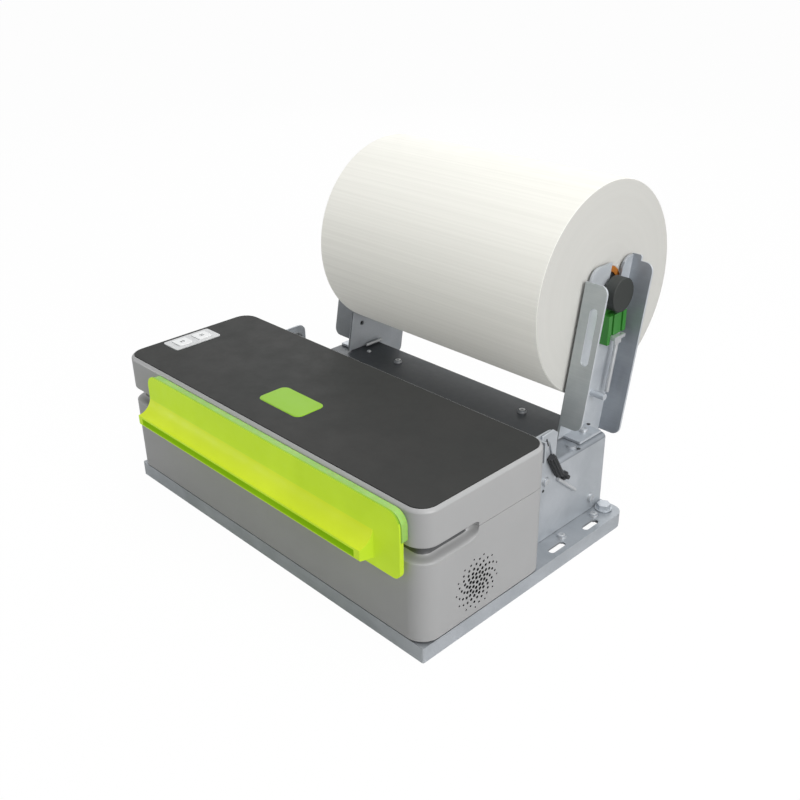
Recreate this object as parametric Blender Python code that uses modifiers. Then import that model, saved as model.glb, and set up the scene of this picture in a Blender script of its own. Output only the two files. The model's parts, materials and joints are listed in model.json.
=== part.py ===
"""Kiosk printer: an A4 thermal printer to build in, with a leaning holder for a large paper roll.

Metres, +Z up. The sizes are measured from the tray: X from its middle, Y from its front edge and
Z from its underside. One empty then moves the whole printer so that its origin lies in the middle
under its bounding box.
"""

import math

import bmesh
import bpy
from mathutils import Matrix, Vector

# Clearances and sheet
GAP = 0.0003
RUNNING_GAP = 0.0006
OVERRUN = 0.004
SHEET = 0.0015

# Base tray
TRAY_INSET = 0.001
TRAY_DEPTH = 0.2054
TRAY_HEIGHT = 0.0111
TRAY_CORNER = 0.0085
TRAY_FOLD_CORNER = 0.0012
TRAY_RETURN = 0.012
TRAY_SLOT_LENGTH = 0.0158
TRAY_SLOT_WIDTH = 0.005
TRAY_SLOT_EDGE = 0.0065
TRAY_SLOT_INSETS = (0.0701, 0.03225)
TRAY_SCREW_EDGE = 0.0118
TRAY_SCREW_INSETS = (0.0580, 0.0211)
TRAY_BOLT_INSET = 0.0092

# Body: lower housing and lid share one outline
BODY_MARGIN = 0.0505
BODY_FRONT = -0.00115
BODY_REAR = 0.1125
BODY_CORNER = 0.0135
CABLE_WAY_WIDTH = 0.040
CABLE_WAY_HEIGHT = 0.014
CABLE_WAY_Z = 0.022
BODY_WALL = 0.0022
SPLIT_Z = 0.0757
GROOVE_BOTTOM = 0.0666
GROOVE_TOP = 0.0785
GROOVE_END_Y = 0.0460
GROOVE_LOW_ROUND = 0.0088
GROOVE_HIGH_ROUND = 0.0027
GROOVE_DEPTH = 0.007
LID_TOP = 0.1044
LID_ROOF = 0.003
LID_EDGE_ROUND = 0.0018
INLAY_MARGIN = 0.0022
INLAY_THICKNESS = 0.001
INLAY_PROUD = 0.0004

# Things on the lid
PAD_WIDTH = 0.0423
PAD_DEPTH = 0.0232
PAD_X = -0.00225
PAD_Y = 0.0349
PAD_CORNER = 0.0045
PAD_PROUD = 0.0003
LABEL_WIDTH = 0.0193
LABEL_DEPTH = 0.0399
LABEL_INSET = 0.01565
LABEL_Y = 0.04835
LABEL_CORNER = 0.0022
LABEL_PROUD = 0.0004
KEY_SIZE = 0.0118
KEY_CORNER = 0.0015
KEY_PITCH = 0.0172
KEY_PROUD = 0.0007
KEY_TRAVEL = 0.0008
KEY_FLANGE = 0.0012
KEY_FLANGE_HEIGHT = 0.001
KEY_STEM = 0.004
KEY_STEM_HEIGHT = 0.0024
KEY_BOARD_THICKNESS = 0.0016
KEY_BOARD_MARGIN = 0.002
KEY_POST = 0.003

# Paper and paper path
PAPER_WIDTH = 0.210
PAPER_X = 0.0104
PATH_Z = 0.0705
PATH_MARGIN = 0.0035

# Paper mouth on the front of the lid
MOUTH_LEFT_MARGIN = 0.0192
MOUTH_RIGHT_INSET = 0.0090
MOUTH_TOP = 0.103
MOUTH_BOTTOM = 0.0586
MOUTH_BACK = -0.0039
MOUTH_PLATE = 0.0038
MOUTH_TOP_CORNER = 0.010
MOUTH_LEFT_CORNER = 0.009
MOUTH_LOW_CORNER = 0.0055
MOUTH_SWEEP_STEPS = 8
LIP_MARGIN = 0.0073
LIP_FRONT = -0.0187
LIP_SWEEP_Z = 0.086
LIP_NOSE_Z = 0.0744
LIP_CHIN_Z = 0.0667
LIP_ROOT_Z = 0.0640
LIP_NOSE_ROUND = 0.0012
SLOT_LOW = 0.0680
SLOT_HIGH = 0.0728
SLOT_END_WALL = 0.0048
GUIDE_BACK = -0.00145
GUIDE_INSET = 0.0015

# Chassis behind the body
CHASSIS_MARGIN = 0.0208
CHASSIS_FRONT = 0.1162
CHASSIS_REAR = 0.2008
CHASSIS_TOP = 0.0684
CHASSIS_CORNER = 0.003
CHASSIS_LEFT_SCREW = (0.0618, 0.1834)
CHASSIS_RIGHT_SCREW = (0.0622, 0.1852)
CHASSIS_EDGE_SCREW = (0.0052, 0.1682)
WALL_SCREW_Y = 0.188
WALL_SCREW_Z = 0.0217

# Lid hinge
HINGE_Y = 0.1279
HINGE_Z = 0.0887
EAR_DEPTH = 0.020
EAR_FRONT = 0.0089
EAR_TOP = 0.0976
EAR_ROUND = 0.006
EAR_BOTTOM = 0.052
EAR_SCREW_Y = 0.1312
EAR_SCREW_Z = 0.0605
EAR_FACET = 0.0075
HINGE_PIN_RADIUS = 0.002
HINGE_PIN_HEAD = 0.0034
HINGE_PIN_HEAD_LENGTH = 0.0014
HINGE_ARM_THICKNESS = 0.003
HINGE_ARM_RADIUS = 0.0052
HINGE_ARM_FOOT = 0.014
HINGE_ARM_FOOT_SHEET = 0.002

# Paper roll, core and spindle
ROLL_RADIUS = 0.0748
CORE_RADIUS = 0.017
CORE_BORE = 0.013
ROLL_SETBACK = 0.02395
ROLL_Z = 0.1642
SPINDLE_RADIUS = 0.004
KNOB_RADIUS = 0.0120
KNOB_THICKNESS = 0.0087
KNOB_OFFSET = 0.0017
KNOB_EDGE = 0.0004
HUB_INSET = 0.002

# Roll arms: channels that lean back
ARM_SHEET = 0.0018
ARM_CLEARANCE = 0.0038
ARM_LEAN = math.radians(11.0)
ARM_FRONT_Y = 0.1676
ARM_DEPTH = 0.0519
ARM_FLANGE = 0.0166
ARM_TOP_Z = 0.1847
ARM_FRONT_FLANGE_TOP = 0.1125
ARM_FRONT_FLANGE_LOW = 0.012
ARM_REAR_FLANGE_TOP = 0.1250
ARM_NECK_WIDTH = 0.0066
ARM_NECK_TOP = 0.1290
ARM_NECK_CORNER = 0.0015
ARM_REAR_FLANGE_LOW = 0.001
ARM_CORNER = 0.006
ARM_TAIL = 0.0140
ARM_TAIL_ROUND = 0.007
ARM_FOOT_LENGTH = 0.0245
ARM_FOOT_Y = 0.1745
ARM_FOOT_WIDTH = 0.0140
ARM_FOOT_SCREW = 0.0054
ARM_FOOT_SCREW_Y = 0.1901
ARM_SLOT_WIDTH = 0.0060
ARM_SLOT_OFFSET = 0.0093
ARM_SLOT_LOW = 0.0575
ARM_SLOT_HIGH = 0.0965
FORK_WIDTH = 0.0092
FORK_WIDENING = 0.0046
FORK_WIDE_LOW = 0.1085
FORK_WIDE_HIGH = 0.1140
ARM_HORN_INSET = 0.0050
ARM_HORN_ROUND = 0.0090
ARM_REAR_ROUND = 0.0100
WEB_HOLE_RADIUS = 0.002
WEB_HOLE_W = 0.0245
WEB_HOLE_V = 0.012

# Bearing block, clip, guide rod and cross pin beside each arm
BLOCK_THICKNESS = 0.0070
BLOCK_FRONT_REACH = 0.0100
BLOCK_REAR_REACH = 0.0105
BLOCK_HIGH = 0.1505
SADDLE_THICKNESS = 0.0011
SADDLE_ROOT = 0.0034
SADDLE_WIDTH = 0.0125
CLIP_SHEET = 0.0012
CLIP_FRONT_REACH = 0.0013
CLIP_REAR_ROOM = 0.01295
CLIP_Z = 0.1340
CLIP_WIDTH = 0.0105
CLIP_LIP = 0.0030
BLOCK_GROOVE = 0.0020
BLOCK_GROOVE_INSET = 0.0050
GUIDE_ROD_RADIUS = 0.00145
GUIDE_ROD_X = 0.0055
GUIDE_ROD_REACH = 0.0025
GUIDE_ROD_LENGTH = 0.0430
CROSS_PIN_RADIUS = 0.0024
CROSS_PIN_LENGTH = 0.0112
CROSS_PIN_Y = 0.2045
CROSS_PIN_Z = 0.0930

# Mechanism frame inside the housing
FRAME_FRONT_Y = 0.0125
FRAME_REAR_Y = 0.1020
FRAME_TOP_Z = 0.0735
FRAME_FOOT = 0.009
FRAME_MARGIN = 0.0055
PLATEN_Y = 0.0300
PLATEN_RADIUS = 0.0080
PLATEN_SHAFT = 0.0030
BEARING_RADIUS = 0.0060
BEARING_FLANGE = 0.0014
GEAR_MODULE = 0.001
GEAR_WIDTH = 0.0040
PLATEN_TEETH = 24
IDLER_TEETH = 36
PINION_TEETH = 12
IDLER_ANGLE = math.radians(-22.0)
PINION_ANGLE = math.radians(-52.0)
GEAR_ROOT_SHARE = 1.2
GEAR_TIP_SHARE = 0.8
GEAR_FOOT_SHARE = 0.58
GEAR_TOP_SHARE = 0.20
IDLER_POST = 0.0025
MOTOR_RADIUS = 0.0175
MOTOR_LENGTH = 0.026
MOTOR_SHAFT = 0.0022
GUIDE_SHEET = 0.0012
GUIDE_RAIL = 0.009
PAPER_GUIDE_GAP = 0.002
PAPER_GUIDE_DROP = 0.0012
TIE_SIZE = 0.004
TIE_Z = 0.040

# Cutter, print head and sensors
BLADE_Y = 0.0171
BLADE_SHEET = 0.0009
BLADE_HEIGHT = 0.016
BLADE_REST = 0.0012
CUTTER_MOTOR_WIDTH = 0.030
CUTTER_MOTOR_DEPTH = 0.024
CUTTER_MOTOR_HEIGHT = 0.022
CUTTER_MOTOR_Y = 0.0263
CUTTER_X = 0.075
TAB_HALF = 0.005
HEAD_DEPTH = 0.024
HEAD_HEIGHT = 0.0052
HEAD_PIVOT_Y = 0.0545
HEAD_PIVOT_Z = 0.0840
HEAD_PIVOT_RADIUS = 0.0020
HEAD_EAR = 0.0020
HEAD_MARGIN = 0.0010
BRACKET_MARGIN = 0.0040
BRACKET_SHEET = 0.0015
BRACKET_FLANGE = 0.010
SENSOR_SIZE = 0.009
SENSOR_Y = 0.1785
SENSOR_Z = 0.0873

# Electrics
BOARD_THICKNESS = 0.0016
BOARD_WIDTH = 0.150
BOARD_DEPTH = 0.062
BOARD_X = 0.010
BOARD_Y = 0.1585
BOARD_Z = 0.0200
BOARD_POST = 0.003
BOARD_PART_SHARES = (0.08, 0.32, 0.58, 0.80)
BOARD_PART_SIZES = (0.018, 0.022, 0.013, 0.019)
INLET_WIDTH = 0.022
INLET_HEIGHT = 0.014
INLET_INSET = 0.020
SOCKET_WIDTH = 0.013
SOCKET_HEIGHT = 0.012
SOCKET_DEPTH = 0.017
SOCKET_X = 0.030
SOCKET_WALL = 0.0012
SOCKET_FLOOR = 0.0024
SOCKET_PROUD = 0.0005

# Fan behind the swirl of holes
FAN_Y = 0.0460
FAN_Z = 0.0350
FAN_SIZE = 0.040
FAN_DEPTH = 0.010
FAN_BORE = 0.0183
FAN_HUB = 0.0075
FAN_BLADES = 7
FAN_STRUT = 0.0022
FAN_TILT = math.radians(40.0)
FAN_BLADE_SHEET = 0.0009
FAN_BLADE_WIDTH = 0.0062
GRILLE_RADIUS = 0.0178
GRILLE_RINGS = 4
GRILLE_HOLES = 9
GRILLE_HOLE = 0.0011
GRILLE_TWIST = math.radians(24.0)

# Release lever on the right wall
LEVER_Y = 0.1530
LEVER_Z = 0.0555
LEVER_LENGTH = 0.0230
LEVER_WIDTH = 0.0056
LEVER_THICKNESS = 0.0016
LEVER_STANDOFF = 0.0032
LEVER_ANGLE = math.radians(127.0)
LEVER_PIN = 0.0016
LINK_LENGTH = 0.0270
LINK_RADIUS = 0.0013
LINK_Y = 0.1495
LINK_Z = 0.0530
LINK_ANGLE = math.radians(-40.6)
LEVER_COLLAR = 0.0026

# Screws
SCREW_HEAD = 0.0032
SCREW_HEAD_HEIGHT = 0.0020
SCREW_SHANK = 0.0015
SCREW_LENGTH = 0.0050
BOLT_HEAD = 0.0050
BOLT_HEIGHT = 0.0042
BOLT_WASHER = 0.0062
BOLT_WASHER_HEIGHT = 0.0010
BOLT_SHANK = 0.0025

# Counts of sides on round shapes
FINE_SIDES = 64
ROUND_SIDES = 24
SMALL_SIDES = 12
HEX_SIDES = 6
CORNER_STEPS = 5
SMALL_CORNER_STEPS = 3

# How the meshes are made
ROUND_END_SHARE = 0.98
ARM_END_SHARE = 0.96
SLOT_END_SHARE = 0.998
LEVEL_SHARE = 0.01
SMOOTH_ANGLE = math.radians(35.0)
EDGE_ANGLE = math.radians(60.0)
TURNED_WELD = 0.00001
OUTLINE_WELD = 0.000005

# Looks: colour in sRGB, roughness, metallic
ZINC = ((0.62, 0.65, 0.69), 0.36, 1.0)
STEEL = ((0.70, 0.71, 0.72), 0.28, 1.0)
SPRING_STEEL = ((0.55, 0.56, 0.57), 0.35, 1.0)
GREY_PLASTIC = ((0.70, 0.70, 0.70), 0.42, 0.0)
DARK_PLASTIC = ((0.27, 0.275, 0.27), 0.38, 0.0)
BLACK_PLASTIC = ((0.10, 0.10, 0.11), 0.45, 0.0)
LABEL_WHITE = ((0.90, 0.90, 0.89), 0.40, 0.0)
PAD_GREEN = ((0.36, 0.66, 0.22), 0.35, 0.0)
LIME = ((0.72, 0.84, 0.23), 0.18, 0.0)
PALE_GREEN = ((0.63, 0.78, 0.41), 0.30, 0.0)
BLOCK_GREEN = ((0.25, 0.47, 0.24), 0.40, 0.0)
PAPER_WHITE = ((0.90, 0.90, 0.88), 0.80, 0.0)
CARD_BROWN = ((0.62, 0.45, 0.24), 0.85, 0.0)
KNOB_GREY = ((0.255, 0.265, 0.255), 0.35, 0.0)
RUBBER_BLACK = ((0.09, 0.09, 0.09), 0.80, 0.0)
GEAR_WHITE = ((0.85, 0.84, 0.80), 0.45, 0.0)
BOARD_GREEN = ((0.10, 0.32, 0.18), 0.50, 0.0)
ALUMINIUM = ((0.75, 0.76, 0.77), 0.32, 1.0)

# Places worked out from the sizes above
X_AXIS = Vector((1, 0, 0))
Y_AXIS = Vector((0, 1, 0))
Z_AXIS = Vector((0, 0, 1))
LEAN = Vector((0, math.sin(ARM_LEAN), math.cos(ARM_LEAN)))
ACROSS = Vector((0, math.cos(ARM_LEAN), -math.sin(ARM_LEAN)))
HALF = 0.5
BODY_SIDE = PAPER_WIDTH * HALF + BODY_MARGIN
TRAY_SIDE = BODY_SIDE - TRAY_INSET
LABEL_X = LABEL_INSET - BODY_SIDE
FLOOR_Z = TRAY_HEIGHT + GAP
PAPER_LEFT = PAPER_X - PAPER_WIDTH * HALF
PAPER_RIGHT = PAPER_X + PAPER_WIDTH * HALF
ROLL_Y = ARM_FRONT_Y + ARM_DEPTH * HALF + ROLL_SETBACK
BLOCK_FRONT_Y = ROLL_Y - BLOCK_FRONT_REACH
BLOCK_REAR_Y = ROLL_Y + BLOCK_REAR_REACH
GUIDE_ROD_Y = ROLL_Y + GUIDE_ROD_REACH
CLIP_FRONT_Y = BLOCK_FRONT_Y - CLIP_FRONT_REACH
CLIP_REAR_Y = ROLL_Y + ARM_DEPTH * HALF - CLIP_REAR_ROOM
INLET_X = BOARD_X - BOARD_WIDTH * HALF + INLET_INSET
FRAME_LEFT = PAPER_LEFT - FRAME_MARGIN
FRAME_RIGHT = PAPER_RIGHT + FRAME_MARGIN
MOUTH_LEFT = PAPER_LEFT - MOUTH_LEFT_MARGIN
MOUTH_RIGHT = BODY_SIDE - MOUTH_RIGHT_INSET
LIP_RIGHT = PAPER_RIGHT + LIP_MARGIN
GUIDE_RIGHT = MOUTH_RIGHT - GUIDE_INSET
ARM_WEB_OUTER = PAPER_WIDTH * HALF + ARM_CLEARANCE
WALL_OUTER = PAPER_WIDTH * HALF + CHASSIS_MARGIN
PLATEN_Z = PATH_Z - PLATEN_RADIUS - GAP
MODEL_SHIFT = -(LIP_FRONT + ROLL_Y + ROLL_RADIUS) * HALF


# Scene, collections and finishes
def clear_scene():
    for old in list(bpy.data.objects):
        bpy.data.objects.remove(old, do_unlink=True)


def new_collection(name):
    group = bpy.data.collections.new(name)
    bpy.context.scene.collection.children.link(group)
    return group


clear_scene()
PART = new_collection("kiosk_printer")
CUTTERS = new_collection("cutters")


def linear(channel):
    low = 0.04045
    if channel <= low:
        return channel / 12.92
    return ((channel + 0.055) / 1.055) ** 2.4


def finish(obj, look):
    colour, roughness, metallic = look
    surface = bpy.data.materials.new(obj.name + "_surface")
    surface.use_nodes = True
    shader = surface.node_tree.nodes["Principled BSDF"]
    shader.inputs["Base Color"].default_value = [linear(c) for c in colour] + [1.0]
    shader.inputs["Roughness"].default_value = roughness
    shader.inputs["Metallic"].default_value = metallic
    obj.data.materials.clear()
    obj.data.materials.append(surface)


def mount_on(obj, empty):
    """Parent an object to an empty and leave it where it was modelled."""
    obj.parent = empty
    obj.matrix_parent_inverse = Matrix.Translation(-Vector(empty["place"]))


def new_empty(name, place, parent=None):
    empty = bpy.data.objects.new(name, None)
    PART.objects.link(empty)
    empty["place"] = tuple(place)
    empty.location = place
    if parent is not None:
        mount_on(empty, parent)
    return empty


def as_node(obj, look, parent):
    finish(obj, look)
    mount_on(obj, parent)
    return obj


# Solids
def from_bmesh(name, shape):
    mesh = bpy.data.meshes.new(name)
    shape.to_mesh(mesh)
    shape.free()
    obj = bpy.data.objects.new(name, mesh)
    PART.objects.link(obj)
    return obj


def smooth(obj):
    obj.data.shade_smooth()
    obj.data.set_sharp_from_angle(angle=SMOOTH_ANGLE)
    return obj


def blocks(name, boxes):
    """Boxes given by their low and high corners, as one mesh."""
    shape = bmesh.new()
    for low, high in boxes:
        low, high = Vector(low), Vector(high)
        middle = Matrix.Translation((low + high) * HALF)
        stretch = Matrix.Diagonal((*(high - low), 1.0))
        bmesh.ops.create_cube(shape, size=1.0, matrix=middle @ stretch)
    return from_bmesh(name, shape)


def block(name, low, high):
    return blocks(name, [(low, high)])


def rods(name, pieces, sides=SMALL_SIDES):
    """Round rods given as (start, end, radius), as one mesh."""
    shape = bmesh.new()
    for start, end, radius in pieces:
        start, end = Vector(start), Vector(end)
        turn = (end - start).to_track_quat("Z", "Y").to_matrix().to_4x4()
        matrix = Matrix.Translation((start + end) * HALF) @ turn
        bmesh.ops.create_cone(
            shape, cap_ends=True, segments=sides, radius1=radius, radius2=radius,
            depth=(end - start).length, matrix=matrix,
        )
    return smooth(from_bmesh(name, shape))


def rod(name, start, end, radius, sides=SMALL_SIDES):
    return rods(name, [(start, end, radius)], sides)


def turned(name, profile, place, axis=X_AXIS, sides=ROUND_SIDES):
    """A turned solid: (radius, height) points down the outer side, turned about the axis at place."""
    shape = bmesh.new()
    corners = [shape.verts.new((radius, 0, height)) for radius, height in profile]
    for first, second in zip(corners, corners[1:]):
        shape.edges.new((first, second))
    if profile[0][0] > 0:
        shape.edges.new((corners[-1], corners[0]))
    obj = from_bmesh(name, shape)
    screw = obj.modifiers.new("turn", "SCREW")
    screw.steps = sides
    screw.render_steps = sides
    screw.use_merge_vertices = True
    screw.merge_threshold = TURNED_WELD
    screw.use_smooth_shade = False
    obj.matrix_world = Matrix.Translation(place) @ axis.to_track_quat("Z", "Y").to_matrix().to_4x4()
    return bake(obj)


def ring(name, place, length, outer, inner, axis=X_AXIS, sides=ROUND_SIDES):
    """A tube of a length along the axis, centred on place."""
    top, low = length * HALF, -length * HALF
    profile = [(inner, top), (outer, top), (outer, low), (inner, low)]
    return turned(name, profile, place, axis, sides)


def bake(obj):
    """Apply an object's modifiers and its place to its mesh."""
    bpy.context.view_layer.update()
    depsgraph = bpy.context.evaluated_depsgraph_get()
    mesh = bpy.data.meshes.new_from_object(obj.evaluated_get(depsgraph))
    mesh.transform(obj.matrix_world)
    name = obj.name
    bpy.data.objects.remove(obj, do_unlink=True)
    shape = bmesh.new()
    shape.from_mesh(mesh)
    bpy.data.meshes.remove(mesh)
    bmesh.ops.recalc_face_normals(shape, faces=shape.faces)
    return smooth(from_bmesh(name, shape))


def plate(name, outline, low, high, across=X_AXIS, up=Y_AXIS, place=(0, 0, 0)):
    """A flat outline in the plane of two directions, from low to high along their normal."""
    curve = bpy.data.curves.new(name, "CURVE")
    curve.dimensions = "2D"
    curve.fill_mode = "BOTH"
    curve.extrude = (high - low) * HALF
    spline = curve.splines.new("POLY")
    spline.points.add(len(outline) - 1)
    for point, (u, v) in zip(spline.points, outline):
        point.co = (u, v, 0, 1)
    spline.use_cyclic_u = True
    obj = bpy.data.objects.new(name, curve)
    PART.objects.link(obj)
    normal = across.cross(up)
    turn = Matrix((across, up, normal)).transposed().to_4x4()
    obj.matrix_world = Matrix.Translation(Vector(place) + normal * (low + high) * HALF) @ turn
    bpy.context.view_layer.update()
    mesh = bpy.data.meshes.new_from_object(obj.evaluated_get(bpy.context.evaluated_depsgraph_get()))
    mesh.transform(obj.matrix_world)
    bpy.data.objects.remove(obj, do_unlink=True)
    bpy.data.curves.remove(curve)
    shape = bmesh.new()
    shape.from_mesh(mesh)
    bpy.data.meshes.remove(mesh)
    bmesh.ops.remove_doubles(shape, verts=shape.verts, dist=OUTLINE_WELD)
    bmesh.ops.recalc_face_normals(shape, faces=shape.faces)
    return smooth(from_bmesh(name, shape))


def side_plate(name, outline, low, high):
    """A plate drawn in (Y, Z) between two values of X."""
    return plate(name, outline, low, high, Y_AXIS, Z_AXIS)


def front_plate(name, outline, low, high):
    """A plate drawn in (X, Z) between two values of Y."""
    return plate(name, outline, -high, -low, X_AXIS, Z_AXIS)


def fillet(points, steps=CORNER_STEPS):
    """An outline whose (u, v, radius) corners are rounded by arcs."""
    rounded = []
    for index, (u, v, radius) in enumerate(points):
        here = Vector((u, v))
        before = (Vector(points[index - 1][:2]) - here).normalized()
        after = (Vector(points[(index + 1) % len(points)][:2]) - here).normalized()
        if radius <= 0:
            rounded.append((u, v))
            continue
        half_angle = before.angle(after) * HALF
        reach = radius / math.tan(half_angle)
        centre = here + (before + after).normalized() * radius / math.sin(half_angle)
        first = here + before * reach - centre
        last = here + after * reach - centre
        sweep = first.angle_signed(last)
        for step in range(steps + 1):
            arm = first.copy()
            arm.rotate(Matrix.Rotation(-sweep * step / steps, 2))
            rounded.append(tuple(centre + arm))
    return rounded


def rectangle(left, right, low, high, radius=0.0, steps=CORNER_STEPS):
    corners = [(left, low, radius), (right, low, radius), (right, high, radius), (left, high, radius)]
    return fillet(corners, steps)


def obround(u, v, length, width, angle=0.0, steps=CORNER_STEPS):
    """A slot's outline, its length along the angle."""
    far, side = length * HALF, width * HALF
    outline = rectangle(-far, far, -side, side, side * SLOT_END_SHARE, steps)
    turn = Matrix.Rotation(angle, 2)
    return [tuple(turn @ Vector(point) + Vector((u, v))) for point in outline]


# Booleans
def as_cutter(obj):
    PART.objects.unlink(obj)
    CUTTERS.objects.link(obj)
    obj.hide_render = True
    obj.display_type = "WIRE"
    mount_on(obj, ROOT)
    return obj


def boolean(obj, other, operation):
    modifier = obj.modifiers.new(other.name, "BOOLEAN")
    modifier.operation = operation
    modifier.solver = "EXACT"
    modifier.object = as_cutter(other)
    return obj


def cut(obj, *cutters):
    for cutter in cutters:
        boolean(obj, cutter, "DIFFERENCE")
    return obj


def join(obj, *others):
    for other in others:
        boolean(obj, other, "UNION")
    return obj


ROOT = new_empty("printer_origin", (0, 0, 0))
ROOT.location = (0, MODEL_SHIFT, 0)


# Shared places
def mirrored(side, near, far):
    """Low and high X of a piece between two distances from the roll's middle, on one side."""
    return tuple(sorted((PAPER_X + side * near, PAPER_X + side * far)))


def beside(side, distance):
    return PAPER_X + side * distance


SIDES = {"left": -1, "right": 1}
HOUSING_TOP = SPLIT_Z - GAP * HALF
LID_LOW = SPLIT_Z + GAP * HALF
LID_ROOF_LOW = LID_TOP - LID_ROOF
INLAY_LOW = LID_TOP + INLAY_PROUD - INLAY_THICKNESS
INLAY_TOP = LID_TOP + INLAY_PROUD
RIM = GROOVE_DEPTH + BODY_WALL
PATH_LEFT = PAPER_LEFT - PATH_MARGIN
PATH_RIGHT = PAPER_RIGHT + PATH_MARGIN
NOTCH_LOW = PATH_Z - PATH_MARGIN
INNER_FLOOR = FLOOR_Z + BODY_WALL + GAP
LID_JOINT = new_empty("lid_hinge", (0, HINGE_Y, HINGE_Z), ROOT)


def body_outline(inset, steps=CORNER_STEPS):
    radius = max(BODY_CORNER - inset, GAP)
    return rectangle(
        inset - BODY_SIDE, BODY_SIDE - inset, BODY_FRONT + inset, BODY_REAR - inset, radius, steps
    )


def screws(name, places):
    """Pan screws to join to a sheet: each place is a point on the sheet and the way it points."""
    heads, shanks = [], []
    for place, way in places:
        place = Vector(place)
        heads.append((place + way * GAP, place - way * SCREW_HEAD_HEIGHT, SCREW_HEAD))
        shanks.append((place - way * SCREW_HEAD_HEIGHT * HALF, place + way * SCREW_LENGTH, SCREW_SHANK))
    return join(rods(name, heads), rods(name + "_shanks", shanks, SMALL_SIDES // 2))


def screw_holes(name, places):
    """Cutters for the shanks of screws that pass through a sheet."""
    pieces = []
    for place, way in places:
        place = Vector(place)
        end = place + way * (SCREW_LENGTH + GAP)
        pieces.append((place - way * OVERRUN, end, SCREW_SHANK + GAP))
    return rods(name, pieces)


def foot_screw(side):
    x = beside(side, ARM_WEB_OUTER + ARM_FOOT_SCREW)
    return ((x, ARM_FOOT_SCREW_Y, CHASSIS_TOP + GAP + ARM_SHEET), -Z_AXIS)


def ear_screw(side):
    return ((beside(side, WALL_OUTER + GAP + SHEET), EAR_SCREW_Y, EAR_SCREW_Z), -X_AXIS * side)


# Base tray
def base_tray():
    corners = [
        (-TRAY_SIDE, 0, TRAY_FOLD_CORNER), (TRAY_SIDE, 0, TRAY_FOLD_CORNER),
        (TRAY_SIDE, TRAY_DEPTH, TRAY_CORNER), (-TRAY_SIDE, TRAY_DEPTH, TRAY_CORNER),
    ]
    tray = plate("base_tray", fillet(corners), 0, TRAY_HEIGHT)
    inside = [
        (SHEET - TRAY_SIDE, SHEET, GAP), (TRAY_SIDE - SHEET, SHEET, GAP),
        (TRAY_SIDE - SHEET, TRAY_DEPTH - SHEET, TRAY_CORNER - SHEET),
        (SHEET - TRAY_SIDE, TRAY_DEPTH - SHEET, TRAY_CORNER - SHEET),
    ]
    room = plate("tray_room", fillet(inside), SHEET, TRAY_HEIGHT - SHEET)
    mouth = block(
        "tray_mouth", (SHEET - TRAY_SIDE, SHEET + TRAY_RETURN, -OVERRUN),
        (TRAY_SIDE - SHEET, TRAY_DEPTH - SHEET - TRAY_RETURN, SHEET + GAP),
    )
    cut(tray, room, mouth)
    for side_name, side in SIDES.items():
        for number, inset in enumerate(TRAY_SLOT_INSETS):
            x, y = side * (TRAY_SIDE - TRAY_SLOT_EDGE), TRAY_DEPTH - inset
            slot = obround(x, y, TRAY_SLOT_LENGTH, TRAY_SLOT_WIDTH, math.pi * HALF)
            name = f"tray_slot_{side_name}_{number}"
            cut(tray, plate(name, slot, TRAY_HEIGHT - SHEET - OVERRUN, TRAY_HEIGHT + OVERRUN))
    places = []
    for side in SIDES.values():
        for inset in TRAY_SCREW_INSETS:
            x, y = side * (TRAY_SIDE - TRAY_SCREW_EDGE), TRAY_DEPTH - inset
            places.append(((x, y, TRAY_HEIGHT), -Z_AXIS))
    cut(tray, bolt_holes("tray_bolt_holes"))
    join(tray, screws("tray_screws", places))
    return as_node(tray, ZINC, ROOT)


def bolt_places():
    return [(side * (TRAY_SIDE - TRAY_SCREW_EDGE), TRAY_DEPTH - TRAY_BOLT_INSET) for side in SIDES.values()]


def bolt_holes(name):
    pieces = []
    for x, y in bolt_places():
        low, high = (x, y, TRAY_HEIGHT - SCREW_LENGTH), (x, y, TRAY_HEIGHT + OVERRUN)
        pieces.append((low, high, BOLT_SHANK + GAP))
    return rods(name, pieces)


def hex_bolts():
    for side_name, (x, y) in zip(SIDES, bolt_places()):
        seat = TRAY_HEIGHT + GAP
        foot, middle = (x, y, seat - SCREW_LENGTH), (x, y, seat + BOLT_WASHER_HEIGHT * HALF)
        washer_top, top = (x, y, seat + BOLT_WASHER_HEIGHT), (x, y, seat + BOLT_HEIGHT)
        bolt = rod(f"hex_bolt_{side_name}", (x, y, seat), washer_top, BOLT_WASHER, ROUND_SIDES)
        head = rod(f"bolt_head_{side_name}", middle, top, BOLT_HEAD, HEX_SIDES)
        shank = rod(f"bolt_shank_{side_name}", foot, middle, BOLT_SHANK)
        as_node(join(bolt, head, shank), STEEL, ROOT)


# Lower housing
def groove_cutter(name):
    """The finger groove: a band round the front, cut back to an inner core, with round ends."""
    front = BODY_FRONT - OVERRUN
    corners = [
        (front, GROOVE_BOTTOM, 0), (GROOVE_END_Y, GROOVE_BOTTOM, GROOVE_LOW_ROUND),
        (GROOVE_END_Y, GROOVE_TOP, GROOVE_HIGH_ROUND), (front, GROOVE_TOP, 0),
    ]
    band = side_plate(name, fillet(corners), -BODY_SIDE - OVERRUN, BODY_SIDE + OVERRUN)
    low, high = GROOVE_BOTTOM - OVERRUN, GROOVE_TOP + OVERRUN
    core = plate(name + "_core", body_outline(GROOVE_DEPTH), low, high)
    return cut(band, core)


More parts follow.
